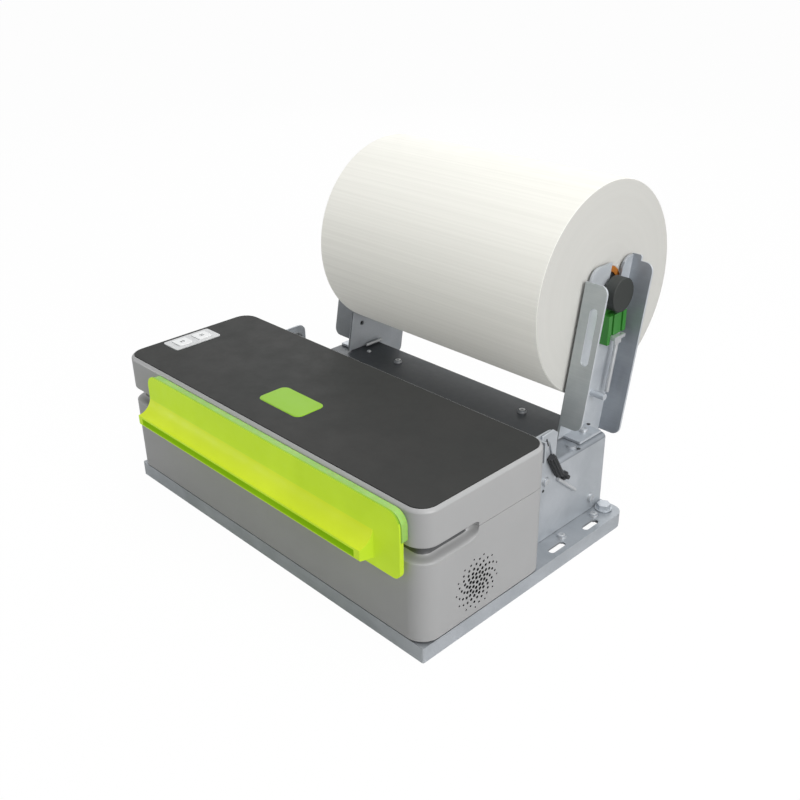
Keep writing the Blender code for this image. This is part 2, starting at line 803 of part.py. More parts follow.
def lower_housing():
    housing = plate("lower_housing", body_outline(0), FLOOR_Z, HOUSING_TOP)
    low_room = plate(
        "housing_low_room", body_outline(BODY_WALL), FLOOR_Z + BODY_WALL, GROOVE_BOTTOM - BODY_WALL
    )
    high_room = plate(
        "housing_high_room", body_outline(RIM), GROOVE_BOTTOM - BODY_WALL - OVERRUN, SPLIT_Z + OVERRUN
    )
    paper_way = block(
        "housing_paper_way", (PATH_LEFT, BODY_FRONT - OVERRUN, NOTCH_LOW),
        (PATH_RIGHT, BODY_REAR + OVERRUN, SPLIT_Z + OVERRUN),
    )
    way_left, way_right = mirrored(1, -CABLE_WAY_WIDTH * HALF, CABLE_WAY_WIDTH * HALF)
    cable_way = block(
        "housing_cable_way", (way_left, BODY_REAR - BODY_WALL - OVERRUN, CABLE_WAY_Z),
        (way_right, BODY_REAR + OVERRUN, CABLE_WAY_Z + CABLE_WAY_HEIGHT),
    )
    cut(housing, groove_cutter("housing_groove"), low_room, high_room, paper_way)
    cut(housing, cable_way, grille_holes())
    return as_node(housing, GREY_PLASTIC, ROOT)


def grille_holes():
    """Rings of small holes, each ring turned a little against the one inside it."""
    pieces = []
    for ring_number in range(1, GRILLE_RINGS + 1):
        radius = (GRILLE_RADIUS - GRILLE_HOLE) * ring_number / GRILLE_RINGS
        for number in range(GRILLE_HOLES):
            angle = math.tau * number / GRILLE_HOLES + GRILLE_TWIST * ring_number
            y = FAN_Y + radius * math.cos(angle)
            z = FAN_Z + radius * math.sin(angle)
            inner = (BODY_SIDE - BODY_WALL - OVERRUN, y, z)
            pieces.append((inner, (BODY_SIDE + OVERRUN, y, z), GRILLE_HOLE))
    return rods("grille_holes", pieces, HEX_SIDES)


# Lid
def round_top(obj, height, radius):
    """Round the outer edge of a plate's top face."""
    shape = bmesh.new()
    shape.from_mesh(obj.data)
    edges = []
    for edge in shape.edges:
        level = all(abs(v.co.z - height) < radius * LEVEL_SHARE for v in edge.verts)
        if level and edge.calc_face_angle(0) > EDGE_ANGLE:
            edges.append(edge)
    bmesh.ops.bevel(
        shape, geom=edges, offset=radius, segments=SMALL_CORNER_STEPS, profile=HALF,
        affect="EDGES", clamp_overlap=True,
    )
    shape.to_mesh(obj.data)
    shape.free()
    return smooth(obj)


def key_ys():
    return (LABEL_Y - KEY_PITCH * HALF, LABEL_Y + KEY_PITCH * HALF)


def centred(x, y, width, depth, radius=0.0, steps=CORNER_STEPS):
    half_width, half_depth = width * HALF, depth * HALF
    return rectangle(x - half_width, x + half_width, y - half_depth, y + half_depth, radius, steps)


def square(x, y, size, radius=0.0):
    return centred(x, y, size, size, radius, SMALL_CORNER_STEPS)


def key_holes(name, low, high):
    holes = []
    for number, y in enumerate(key_ys()):
        outline = square(LABEL_X, y, KEY_SIZE + GAP + GAP, KEY_CORNER + GAP)
        holes.append(plate(f"{name}_{number}", outline, low, high))
    return holes


KEY_FLANGE_TOP = LID_ROOF_LOW - GAP
KEY_FLANGE_LOW = KEY_FLANGE_TOP - KEY_FLANGE_HEIGHT
KEY_STEM_LOW = KEY_FLANGE_LOW - KEY_STEM_HEIGHT
KEY_BOARD_TOP = KEY_STEM_LOW - KEY_TRAVEL - GAP
KEY_BOARD_WIDTH = LABEL_WIDTH + KEY_BOARD_MARGIN + KEY_BOARD_MARGIN
KEY_BOARD_DEPTH = LABEL_DEPTH + KEY_BOARD_MARGIN + KEY_BOARD_MARGIN


def lid_shell():
    lid = plate("lid_shell", body_outline(0), LID_LOW, LID_TOP)
    round_top(lid, LID_TOP, LID_EDGE_ROUND)
    recess = plate("lid_recess", body_outline(INLAY_MARGIN), INLAY_LOW - GAP, LID_TOP + OVERRUN)
    low_room = plate("lid_low_room", body_outline(RIM), LID_LOW - OVERRUN, GROOVE_TOP + BODY_WALL + OVERRUN)
    high_room = plate("lid_high_room", body_outline(BODY_WALL), GROOVE_TOP + BODY_WALL, LID_ROOF_LOW)
    cut(lid, groove_cutter("lid_groove"), recess, low_room, high_room)
    cut(lid, *key_holes("lid_key_hole", LID_ROOF_LOW - OVERRUN, LID_TOP + OVERRUN))
    bosses = []
    for side in SIDES.values():
        y = LABEL_Y + side * (KEY_BOARD_DEPTH * HALF - KEY_POST)
        low, high = (LABEL_X, y, KEY_BOARD_TOP + GAP), (LABEL_X, y, LID_ROOF_LOW + GAP)
        bosses.append((low, high, KEY_POST * HALF))
    join(lid, rods("key_board_bosses", bosses))
    return as_node(lid, GREY_PLASTIC, LID_JOINT)


def lid_top_pieces():
    inlay = plate("lid_inlay", body_outline(INLAY_MARGIN + GAP), INLAY_LOW, INLAY_TOP)
    label_pocket = centred(
        LABEL_X, LABEL_Y, LABEL_WIDTH + GAP + GAP, LABEL_DEPTH + GAP + GAP, LABEL_CORNER + GAP
    )
    pad_pocket = centred(PAD_X, PAD_Y, PAD_WIDTH + GAP + GAP, PAD_DEPTH + GAP + GAP, PAD_CORNER + GAP)
    low, high = INLAY_LOW - OVERRUN, INLAY_TOP + OVERRUN
    cut(inlay, plate("label_pocket", label_pocket, low, high))
    cut(inlay, plate("pad_pocket", pad_pocket, low, high))
    as_node(inlay, DARK_PLASTIC, LID_JOINT)
    pad = plate(
        "lid_pad", centred(PAD_X, PAD_Y, PAD_WIDTH, PAD_DEPTH, PAD_CORNER), INLAY_LOW, INLAY_TOP + PAD_PROUD
    )
    as_node(pad, PAD_GREEN, LID_JOINT)
    label = plate(
        "key_plate", centred(LABEL_X, LABEL_Y, LABEL_WIDTH, LABEL_DEPTH, LABEL_CORNER),
        INLAY_LOW, INLAY_TOP + LABEL_PROUD,
    )
    cut(label, *key_holes("label_key_hole", low, high))
    as_node(label, LABEL_WHITE, LID_JOINT)
    for name, y in zip(("front", "rear"), key_ys()):
        key_top = INLAY_TOP + LABEL_PROUD + KEY_PROUD
        middle = (KEY_FLANGE_LOW + KEY_FLANGE_TOP) * HALF
        key = plate(f"key_{name}", square(LABEL_X, y, KEY_SIZE, KEY_CORNER), middle, key_top)
        wide = square(LABEL_X, y, KEY_SIZE + KEY_FLANGE + KEY_FLANGE, KEY_CORNER)
        flange = plate(f"key_{name}_flange", wide, KEY_FLANGE_LOW, KEY_FLANGE_TOP)
        stem = plate(f"key_{name}_stem", square(LABEL_X, y, KEY_STEM), KEY_STEM_LOW, middle)
        join(key, flange, stem)
        joint = new_empty(f"key_{name}_slide", (LABEL_X, y, key_top), LID_JOINT)
        as_node(key, LABEL_WHITE, joint)
    board = plate(
        "key_board", centred(LABEL_X, LABEL_Y, KEY_BOARD_WIDTH, KEY_BOARD_DEPTH, LABEL_CORNER),
        KEY_BOARD_TOP - KEY_BOARD_THICKNESS, KEY_BOARD_TOP,
    )
    as_node(board, BOARD_GREEN, LID_JOINT)


def paper_mouth():
    front = MOUTH_BACK - MOUTH_PLATE
    middle = MOUTH_BACK - MOUTH_PLATE * HALF
    corners = [
        (MOUTH_LEFT, MOUTH_BOTTOM, MOUTH_LOW_CORNER * HALF), (MOUTH_RIGHT, MOUTH_BOTTOM, MOUTH_LOW_CORNER),
        (MOUTH_RIGHT, MOUTH_TOP, MOUTH_TOP_CORNER), (MOUTH_LEFT, MOUTH_TOP, MOUTH_LEFT_CORNER),
    ]
    mouth = front_plate("paper_mouth", fillet(corners), front, MOUTH_BACK)
    profile = [(middle, LIP_ROOT_Z), (LIP_FRONT + LIP_NOSE_ROUND, LIP_CHIN_Z)]
    profile.append((LIP_FRONT, LIP_CHIN_Z + LIP_NOSE_ROUND))
    for step in range(MOUTH_SWEEP_STEPS + 1):
        angle = math.pi * HALF * step / MOUTH_SWEEP_STEPS
        y = LIP_FRONT + (front - LIP_FRONT) * math.sin(angle)
        profile.append((y, LIP_SWEEP_Z - (LIP_SWEEP_Z - LIP_NOSE_Z) * math.cos(angle)))
    profile.append((middle, LIP_SWEEP_Z))
    lip = side_plate("mouth_lip", profile, MOUTH_LEFT + GAP, LIP_RIGHT)
    slot = block(
        "mouth_slot", (MOUTH_LEFT + SLOT_END_WALL, LIP_FRONT - OVERRUN, SLOT_LOW),
        (LIP_RIGHT - SLOT_END_WALL, MOUTH_BACK + OVERRUN, SLOT_HIGH),
    )
    join(mouth, lip)
    cut(mouth, slot)
    as_node(mouth, LIME, LID_JOINT)
    guide_left, guide_low, guide_top = MOUTH_LEFT + SLOT_END_WALL, GROOVE_TOP + GAP, MOUTH_TOP - GAP - GAP
    corners = [
        (guide_left, guide_low, 0), (GUIDE_RIGHT, guide_low, 0), (GUIDE_RIGHT, guide_top, MOUTH_TOP_CORNER),
        (guide_left, guide_top, MOUTH_LEFT_CORNER),
    ]
    guide = front_plate("mouth_light_guide", fillet(corners), MOUTH_BACK + GAP, GUIDE_BACK)
    as_node(guide, PALE_GREEN, LID_JOINT)


# Chassis
def chassis():
    low_x, high_x = mirrored(1, -WALL_OUTER, WALL_OUTER)
    corners = [
        (low_x, FLOOR_Z, 0), (low_x, CHASSIS_TOP, CHASSIS_CORNER), (high_x, CHASSIS_TOP, CHASSIS_CORNER),
        (high_x, FLOOR_Z, 0), (high_x - SHEET, FLOOR_Z, 0),
        (high_x - SHEET, CHASSIS_TOP - SHEET, CHASSIS_CORNER - SHEET),
        (low_x + SHEET, CHASSIS_TOP - SHEET, CHASSIS_CORNER - SHEET), (low_x + SHEET, FLOOR_Z, 0),
    ]
    outline = fillet(corners, SMALL_CORNER_STEPS)
    cover = front_plate("chassis_cover", outline, CHASSIS_FRONT, CHASSIS_REAR)
    passing = [place(side) for place in (foot_screw, ear_screw) for side in SIDES.values()]
    own = []
    for side, (inset, y) in (-1, CHASSIS_LEFT_SCREW), (1, CHASSIS_RIGHT_SCREW), (1, CHASSIS_EDGE_SCREW):
        own.append(((beside(side, WALL_OUTER - inset), y, CHASSIS_TOP), -Z_AXIS))
    for side in SIDES.values():
        own.append(((beside(side, WALL_OUTER), WALL_SCREW_Y, WALL_SCREW_Z), -X_AXIS * side))
    cut(cover, screw_holes("chassis_screw_holes", passing))
    join(cover, screws("chassis_screws", own))
    as_node(cover, ZINC, ROOT)
    inner = SHEET + GAP
    top = CHASSIS_TOP - inner
    corners = [
        (low_x + inner, FLOOR_Z, 0), (high_x - inner, FLOOR_Z, 0),
        (high_x - inner, top, CHASSIS_CORNER), (low_x + inner, top, CHASSIS_CORNER),
    ]
    rear = front_plate("chassis_rear", fillet(corners), CHASSIS_REAR - inner, CHASSIS_REAR - GAP)
    windows = [socket_box(SOCKET_X, SOCKET_WIDTH, SOCKET_HEIGHT, GAP)]
    windows.append(socket_box(INLET_X, INLET_WIDTH, INLET_HEIGHT, GAP))
    cut(rear, blocks("chassis_windows", windows))
    as_node(rear, ZINC, ROOT)


def hinge(side_name, side):
    inner, outer = WALL_OUTER + GAP, WALL_OUTER + GAP + SHEET
    low_y = HINGE_Y - EAR_FRONT
    corners = [
        (low_y, EAR_BOTTOM, 0), (low_y + EAR_DEPTH, EAR_BOTTOM, EAR_ROUND),
        (low_y + EAR_DEPTH, EAR_TOP, EAR_ROUND), (low_y, EAR_TOP, 0),
    ]
    ear = side_plate(f"hinge_bracket_{side_name}", fillet(corners), *mirrored(side, inner, outer))
    facet_low, facet_high = mirrored(side, inner + GAP, outer + EAR_FACET)
    facet = block(
        f"ear_facet_{side_name}", (facet_low, low_y - GAP, EAR_TOP - EAR_FACET - EAR_FACET),
        (facet_high, low_y + SHEET, EAR_TOP - GAP),
    )
    join(ear, facet)
    through, bore = mirrored(side, inner - OVERRUN, outer + OVERRUN), HINGE_PIN_RADIUS + GAP
    cut(ear, x_rod(f"ear_hole_{side_name}", through, HINGE_Y, HINGE_Z, bore))
    join(ear, screws(f"ear_screw_{side_name}", [ear_screw(side)]))
    as_node(ear, ZINC, ROOT)

    arm_x = mirrored(side, WALL_OUTER - HINGE_ARM_THICKNESS, WALL_OUTER)
    foot_y = BODY_REAR + GAP
    round_side = HINGE_ARM_RADIUS * ARM_END_SHARE
    low_z, high_z = HINGE_Z - HINGE_ARM_RADIUS, HINGE_Z + HINGE_ARM_RADIUS
    end_y = HINGE_Y + HINGE_ARM_RADIUS
    corners = [
        (foot_y, low_z, 0), (end_y, low_z, round_side), (end_y, high_z, round_side), (foot_y, high_z, 0),
    ]
    arm = side_plate(f"hinge_arm_{side_name}", fillet(corners), *arm_x)
    foot_x = mirrored(side, WALL_OUTER - HINGE_ARM_FOOT, WALL_OUTER - GAP)
    foot = block(
        f"hinge_foot_{side_name}", (foot_x[0], foot_y - GAP * HALF, LID_LOW + HINGE_ARM_RADIUS),
        (foot_x[1], foot_y + HINGE_ARM_FOOT_SHEET, LID_TOP - HINGE_ARM_RADIUS),
    )
    join(arm, foot)
    through = mirrored(side, WALL_OUTER - HINGE_ARM_FOOT, WALL_OUTER + OVERRUN)
    cut(arm, x_rod(f"arm_hole_{side_name}", through, HINGE_Y, HINGE_Z, bore))
    as_node(arm, STEEL, LID_JOINT)


def hinge_pin(side_name, side):
    head_low = WALL_OUTER + GAP + SHEET + GAP
    shank = mirrored(side, WALL_OUTER - HINGE_ARM_THICKNESS, head_low + GAP)
    head = mirrored(side, head_low, head_low + HINGE_PIN_HEAD_LENGTH)
    pin = x_rod(f"hinge_pin_{side_name}", shank, HINGE_Y, HINGE_Z, HINGE_PIN_RADIUS)
    join(pin, x_rod(f"hinge_pin_head_{side_name}", head, HINGE_Y, HINGE_Z, HINGE_PIN_HEAD))
    as_node(pin, STEEL, ROOT)


def x_rod(name, span, y, z, radius, sides=SMALL_SIDES):
    """A rod along X between two values of X."""
    return rod(name, (span[0], y, z), (span[1], y, z), radius, sides)


# Roll arms
ARM_FOOT_POINT = Vector((0, ARM_FRONT_Y, CHASSIS_TOP))


def in_arm(y, z):
    """Place of a world point in the arm's own plane: across and along its lean."""
    offset = Vector((0, y, z)) - ARM_FOOT_POINT
    return offset.dot(ACROSS), offset.dot(LEAN)


def arm_top(v):
    """The level top edge of an arm's web at this depth across its lean."""
    return v, (ARM_TOP_Z - CHASSIS_TOP + v * math.sin(ARM_LEAN)) / math.cos(ARM_LEAN)


def roll_arm(side_name, side):
    name = f"roll_arm_{side_name}"
    web_inner = ARM_WEB_OUTER - ARM_SHEET
    web_foot = CHASSIS_TOP + GAP + ARM_SHEET * HALF
    tail_y = CHASSIS_REAR + GAP
    edge = ARM_SHEET * HALF
    middle, neck = in_arm(ROLL_Y, ROLL_Z)
    fork_front, fork_rear = middle - FORK_WIDTH * HALF, middle + FORK_WIDTH * HALF
    fork_low = neck - SPINDLE_RADIUS - GAP
    fork_round = FORK_WIDTH * HALF * ROUND_END_SHARE
    start, knee = in_arm(ARM_FRONT_Y + edge, web_foot), in_arm(tail_y, web_foot)
    tail_low = in_arm(tail_y, CHASSIS_TOP - ARM_TAIL)
    corners = [
        (edge, start[1], 0), (*knee, 0), (*tail_low, ARM_TAIL_ROUND * HALF),
        (ARM_DEPTH - edge, tail_low[1], ARM_TAIL_ROUND), (*arm_top(ARM_DEPTH - edge), 0),
        (*arm_top(fork_rear + FORK_WIDENING), ARM_REAR_ROUND),
        (fork_rear + FORK_WIDENING, FORK_WIDE_HIGH, 0), (fork_rear, FORK_WIDE_LOW, 0),
        (fork_rear, fork_low, fork_round), (fork_front, fork_low, fork_round), (*arm_top(fork_front), 0),
        (*arm_top(ARM_HORN_INSET), ARM_HORN_ROUND), (ARM_HORN_INSET, ARM_FRONT_FLANGE_TOP - edge, 0),
        (edge, ARM_FRONT_FLANGE_TOP - edge, 0),
    ]
    web_x = mirrored(side, web_inner, ARM_WEB_OUTER)
    arm = plate(name, fillet(corners), *web_x, ACROSS, LEAN, ARM_FOOT_POINT)

    through = mirrored(side, web_inner - OVERRUN, ARM_WEB_OUTER + OVERRUN)

    root, rim = beside(side, ARM_WEB_OUTER - edge), beside(side, ARM_WEB_OUTER + ARM_FLANGE)
    neck_x = beside(side, ARM_WEB_OUTER + ARM_NECK_WIDTH)
    front_flange = [
        (root, ARM_FRONT_FLANGE_LOW, 0), (rim, ARM_FRONT_FLANGE_LOW, ARM_CORNER),
        (rim, ARM_FRONT_FLANGE_TOP, ARM_CORNER), (root, ARM_FRONT_FLANGE_TOP, 0),
    ]
    rear_flange = [
        (root, ARM_REAR_FLANGE_LOW, 0), (rim, ARM_REAR_FLANGE_LOW, ARM_CORNER),
        (rim, ARM_REAR_FLANGE_TOP, ARM_CORNER), (neck_x, ARM_REAR_FLANGE_TOP, 0),
        (neck_x, ARM_NECK_TOP, ARM_NECK_CORNER), (root, ARM_NECK_TOP, 0),
    ]
    flanges = (("front", 0, front_flange), ("rear", ARM_DEPTH - ARM_SHEET, rear_flange))
    for part_name, offset, corners in flanges:
        outline, far = fillet(corners[::side]), -offset - ARM_SHEET
        flange = plate(f"{name}_{part_name}", outline, far, -offset, X_AXIS, LEAN, ARM_FOOT_POINT)
        join(arm, flange)
    foot_x = mirrored(side, ARM_WEB_OUTER - edge, ARM_WEB_OUTER + ARM_FOOT_WIDTH)
    foot = block(
        name + "_foot", (foot_x[0], ARM_FOOT_Y, CHASSIS_TOP + GAP),
        (foot_x[1], ARM_FOOT_Y + ARM_FOOT_LENGTH, CHASSIS_TOP + GAP + ARM_SHEET),
    )
    join(arm, foot)
    slot = obround(
        beside(side, ARM_WEB_OUTER + ARM_SLOT_OFFSET), (ARM_SLOT_LOW + ARM_SLOT_HIGH) * HALF,
        ARM_SLOT_HIGH - ARM_SLOT_LOW, ARM_SLOT_WIDTH, math.pi * HALF,
    )
    window = plate(
        name + "_slot", slot, -ARM_SHEET - OVERRUN, OVERRUN, X_AXIS, LEAN, ARM_FOOT_POINT
    )
    hole_place = ARM_FOOT_POINT + ACROSS * WEB_HOLE_V + LEAN * WEB_HOLE_W
    hole = x_rod(name + "_hole", through, hole_place.y, hole_place.z, WEB_HOLE_RADIUS)
    cut(arm, window, hole)
    pin_x = mirrored(side, ARM_WEB_OUTER - edge, ARM_WEB_OUTER + CROSS_PIN_LENGTH)
    cross_pin = x_rod(name + "_cross_pin", pin_x, CROSS_PIN_Y, CROSS_PIN_Z, CROSS_PIN_RADIUS)
    join(arm, cross_pin, screws(name + "_screw", [foot_screw(side)]))
    as_node(arm, ZINC, ROOT)


def spindle_rest(side_name, side):
    """The green block under the spindle's neck, and the steel clip with its guide rod."""
    inner = ARM_WEB_OUTER + GAP
    outer = inner + BLOCK_THICKNESS
    block_low = CLIP_Z + CLIP_SHEET + GAP
    low, high = mirrored(side, inner, outer)
    rest = block(
        f"spindle_rest_{side_name}", (low, BLOCK_FRONT_Y, block_low), (high, BLOCK_REAR_Y, BLOCK_HIGH)
    )
    low, high = mirrored(side, inner + GAP, inner + SADDLE_THICKNESS)
    saddle = block(
        f"saddle_{side_name}", (low, ROLL_Y - SADDLE_WIDTH * HALF, BLOCK_HIGH - SADDLE_ROOT),
        (high, ROLL_Y + SADDLE_WIDTH * HALF, ROLL_Z),
    )
    through = mirrored(side, inner - OVERRUN, outer + OVERRUN)
    bore = SPINDLE_RADIUS + GAP
    neck = x_rod(f"saddle_neck_{side_name}", through, ROLL_Y, ROLL_Z, bore, ROUND_SIDES)
    low, high = mirrored(side, outer - BLOCK_GROOVE, outer + OVERRUN)
    join(rest, saddle)
    for number, middle in enumerate((BLOCK_FRONT_Y + BLOCK_GROOVE_INSET, BLOCK_REAR_Y - BLOCK_GROOVE_INSET)):
        groove = block(
            f"rest_groove_{side_name}_{number}", (low, middle - BLOCK_GROOVE * HALF, block_low - OVERRUN),
            (high, middle + BLOCK_GROOVE * HALF, BLOCK_HIGH + OVERRUN),
        )
        cut(rest, groove)
    cut(rest, neck)
    as_node(rest, BLOCK_GREEN, ROOT)

    low, high = mirrored(side, inner, inner + CLIP_WIDTH)
    clip = block(
        f"rest_clip_{side_name}", (low, CLIP_FRONT_Y, CLIP_Z), (high, CLIP_REAR_Y, CLIP_Z + CLIP_SHEET)
    )
    low, high = mirrored(side, inner + CLIP_WIDTH - CLIP_SHEET, inner + CLIP_WIDTH + GAP)
    lip = block(
        f"clip_lip_{side_name}", (low, CLIP_FRONT_Y - GAP, CLIP_Z - CLIP_LIP),
        (high, CLIP_REAR_Y + GAP, CLIP_Z + CLIP_SHEET * HALF),
    )
    top = Vector((beside(side, inner + GUIDE_ROD_X), GUIDE_ROD_Y, CLIP_Z + CLIP_SHEET * HALF))
    guide = rod(f"guide_rod_{side_name}", top, top - LEAN * GUIDE_ROD_LENGTH, GUIDE_ROD_RADIUS)
    as_node(join(clip, lip, guide), STEEL, ROOT)


# Roll, core and spindle
def paper_and_spindle():
    lift = new_empty("roll_lift", (PAPER_X, ROLL_Y, ROLL_Z), ROOT)
    spin = new_empty("roll_spin", (PAPER_X, ROLL_Y, ROLL_Z), lift)
    centre = (PAPER_X, ROLL_Y, ROLL_Z)
    roll = ring("paper_roll", centre, PAPER_WIDTH, ROLL_RADIUS, CORE_RADIUS + GAP, X_AXIS, FINE_SIDES)
    as_node(roll, PAPER_WHITE, spin)
    core = ring("paper_core", centre, PAPER_WIDTH, CORE_RADIUS, CORE_BORE, X_AXIS, ROUND_SIDES)
    as_node(core, CARD_BROWN, spin)
    knob_inner = ARM_WEB_OUTER + KNOB_OFFSET
    half = KNOB_THICKNESS * HALF
    edge = KNOB_RADIUS - KNOB_EDGE
    bore = SPINDLE_RADIUS + GAP
    profile = [
        (0, half), (edge, half), (KNOB_RADIUS, half - KNOB_EDGE), (KNOB_RADIUS, -half), (bore, -half),
        (bore, 0), (0, 0),
    ]
    for side_name, side in SIDES.items():
        place = (beside(side, knob_inner + half), ROLL_Y, ROLL_Z)
        knob = turned(f"spindle_knob_{side_name}", profile, place, X_AXIS * side)
        as_node(knob, KNOB_GREY, lift)
    sleeve = ring("core_sleeve", centre, PAPER_WIDTH - HUB_INSET, CORE_BORE - GAP, bore)
    as_node(sleeve, BLACK_PLASTIC, spin)
    reach = knob_inner + half - GAP
    ends = mirrored(1, -reach, reach)
    as_node(x_rod("spindle", ends, ROLL_Y, ROLL_Z, SPINDLE_RADIUS, ROUND_SIDES), STEEL, lift)


# Release lever and its link on the right wall
def release_lever():
    joint = new_empty("release_lever_hinge", (beside(1, WALL_OUTER), LEVER_Y, LEVER_Z), ROOT)
    low, high = WALL_OUTER + LEVER_STANDOFF, WALL_OUTER + LEVER_STANDOFF + LEVER_THICKNESS
    reach = LEVER_LENGTH * HALF - LEVER_WIDTH * HALF
    middle_y = LEVER_Y + reach * math.cos(LEVER_ANGLE)
    middle_z = LEVER_Z + reach * math.sin(LEVER_ANGLE)
    outline = obround(middle_y, middle_z, LEVER_LENGTH, LEVER_WIDTH, LEVER_ANGLE)
    lever = side_plate("release_lever", outline, *mirrored(1, low, high))
    through = mirrored(1, low - OVERRUN, high + OVERRUN)
    hole = x_rod("lever_hole", through, LEVER_Y, LEVER_Z, LEVER_PIN + GAP)
    as_node(cut(lever, hole), BLACK_PLASTIC, joint)
    collar = x_rod("lever_pin", mirrored(1, WALL_OUTER + GAP, low - GAP), LEVER_Y, LEVER_Z, LEVER_COLLAR)
    pin = x_rod("lever_shank", mirrored(1, low - GAP - GAP, high + GAP), LEVER_Y, LEVER_Z, LEVER_PIN)
    as_node(join(collar, pin), STEEL, ROOT)
    x = beside(1, WALL_OUTER + GAP + LINK_RADIUS)
    start = Vector((x, LINK_Y, LINK_Z))
    way = Vector((0, math.cos(LINK_ANGLE), math.sin(LINK_ANGLE)))
    as_node(rod("lever_link", start, start + way * LINK_LENGTH, LINK_RADIUS), STEEL, ROOT)


def near_end_sensor():
    """The sensor beside the roll's left end that sees when the paper is nearly used up."""
    low, high = mirrored(-1, ARM_WEB_OUTER + GAP, ARM_WEB_OUTER + GAP + SENSOR_SIZE)
    sensor = block(
        "near_end_sensor", (low, SENSOR_Y, SENSOR_Z), (high, SENSOR_Y + SENSOR_SIZE, SENSOR_Z + SENSOR_SIZE)
    )
    as_node(sensor, BLACK_PLASTIC, ROOT)


# Mechanism frame
def frame_side(side_name, side):
    inner = PAPER_WIDTH * HALF + FRAME_MARGIN
    outer = inner + SHEET
    corners = [
        (FRAME_FRONT_Y, INNER_FLOOR, 0), (FRAME_REAR_Y, INNER_FLOOR, 0),
        (FRAME_REAR_Y, FRAME_TOP_Z, CHASSIS_CORNER), (FRAME_FRONT_Y, FRAME_TOP_Z, CHASSIS_CORNER),
    ]
    wall = side_plate(f"frame_side_{side_name}", fillet(corners), *mirrored(side, inner, outer))
    foot_x = mirrored(side, inner + GAP, outer + FRAME_FOOT)
    foot = block(
        f"frame_foot_{side_name}", (foot_x[0], FRAME_FRONT_Y + SHEET, INNER_FLOOR - GAP * HALF),
        (foot_x[1], FRAME_REAR_Y - SHEET, INNER_FLOOR + SHEET),
    )
    join(wall, foot)
    through = mirrored(side, inner - OVERRUN, outer + OVERRUN)
    seat = BEARING_RADIUS + GAP
    cut(wall, x_rod(f"bearing_hole_{side_name}", through, PLATEN_Y, PLATEN_Z, seat, ROUND_SIDES))
    if side < 0:
        idler = gear_centre("idler")
        pinion = gear_centre("pinion")
        post_x = mirrored(side, inner + GAP, gear_outer_distance())
        join(wall, x_rod("idler_post", post_x, idler.y, idler.z, IDLER_POST))
        bore = MOTOR_SHAFT + RUNNING_GAP
        cut(wall, x_rod("motor_hole", through, pinion.y, pinion.z, bore, ROUND_SIDES))
    as_node(wall, ZINC, ROOT)


def platen_bearing(side_name, side):
    middle = PAPER_WIDTH * HALF + FRAME_MARGIN + SHEET * HALF
    half = SHEET * HALF
    bore = PLATEN_SHAFT + GAP
    flange = BEARING_RADIUS + BEARING_FLANGE
    profile = [
        (bore, half + BEARING_FLANGE), (flange, half + BEARING_FLANGE), (flange, half + GAP),
        (BEARING_RADIUS, half + GAP), (BEARING_RADIUS, -half - GAP), (bore, -half - GAP),
    ]
    place = (beside(side, middle), PLATEN_Y, PLATEN_Z)
    as_node(turned(f"platen_bearing_{side_name}", profile, place, X_AXIS * side), GEAR_WHITE, ROOT)


def frame_inner_parts():
    left, right = FRAME_LEFT + GAP, FRAME_RIGHT - GAP
    tie_y = FRAME_REAR_Y - TIE_SIZE - TIE_SIZE
    tie = block("frame_tie", (left, tie_y, TIE_Z), (right, tie_y + TIE_SIZE, TIE_Z + TIE_SIZE))
    as_node(tie, ZINC, ROOT)
    front, rear = PLATEN_Y + PLATEN_RADIUS + PAPER_GUIDE_GAP, FRAME_REAR_Y
    top = PATH_Z - PAPER_GUIDE_DROP
    low = top - GUIDE_RAIL
    room_front, room_rear, room_top = front + GUIDE_SHEET, rear - GUIDE_SHEET, top - GUIDE_SHEET
    profile = [
        (front, low), (front, top), (rear, top), (rear, low), (room_rear, low), (room_rear, room_top),
        (room_front, room_top), (room_front, low),
    ]
    as_node(side_plate("paper_guide", profile, left, right), ZINC, ROOT)


# Platen, gears and motor
def gear_centre(which):
    platen = Vector((0, PLATEN_Y, PLATEN_Z))
    if which == "platen":
        return platen
    reach = GEAR_MODULE * (PLATEN_TEETH + IDLER_TEETH) * HALF
    idler = platen + Vector((0, math.cos(IDLER_ANGLE), math.sin(IDLER_ANGLE))) * reach
    if which == "idler":
        return idler
    reach = GEAR_MODULE * (IDLER_TEETH + PINION_TEETH) * HALF
    return idler + Vector((0, math.cos(PINION_ANGLE), math.sin(PINION_ANGLE))) * reach


def gear_inner_distance():
    """Distance of the gears' inner faces from the paper's middle, on the left side."""
    return PAPER_WIDTH * HALF + FRAME_MARGIN + SHEET + BEARING_FLANGE + RUNNING_GAP


def gear_outer_distance():
    return gear_inner_distance() + GEAR_WIDTH


def gear(name, centre, teeth, tooth_angle, bore, joint, look):
    """A spur gear with one tooth centred on tooth_angle."""
    pitch = GEAR_MODULE * teeth * HALF
    root = pitch - GEAR_MODULE * GEAR_ROOT_SHARE
    tip = pitch + GEAR_MODULE * GEAR_TIP_SHARE
    corners = (
        (root, -GEAR_FOOT_SHARE), (tip, -GEAR_TOP_SHARE), (tip, GEAR_TOP_SHARE), (root, GEAR_FOOT_SHARE)
    )
    outline = []
    for tooth in range(teeth):
        middle = tooth_angle + math.tau * tooth / teeth
        for radius, share in corners:
            angle = middle + math.tau / teeth * share * HALF
            outline.append((centre.y + radius * math.cos(angle), centre.z + radius * math.sin(angle)))
    span = mirrored(-1, gear_inner_distance(), gear_outer_distance())
    wheel = side_plate(name, outline, *span)
    if bore > 0:
        hole_span = (span[0] - OVERRUN, span[1] + OVERRUN)
        cut(wheel, x_rod(name + "_bore", hole_span, centre.y, centre.z, bore + GAP))
    return as_node(wheel, look, joint)


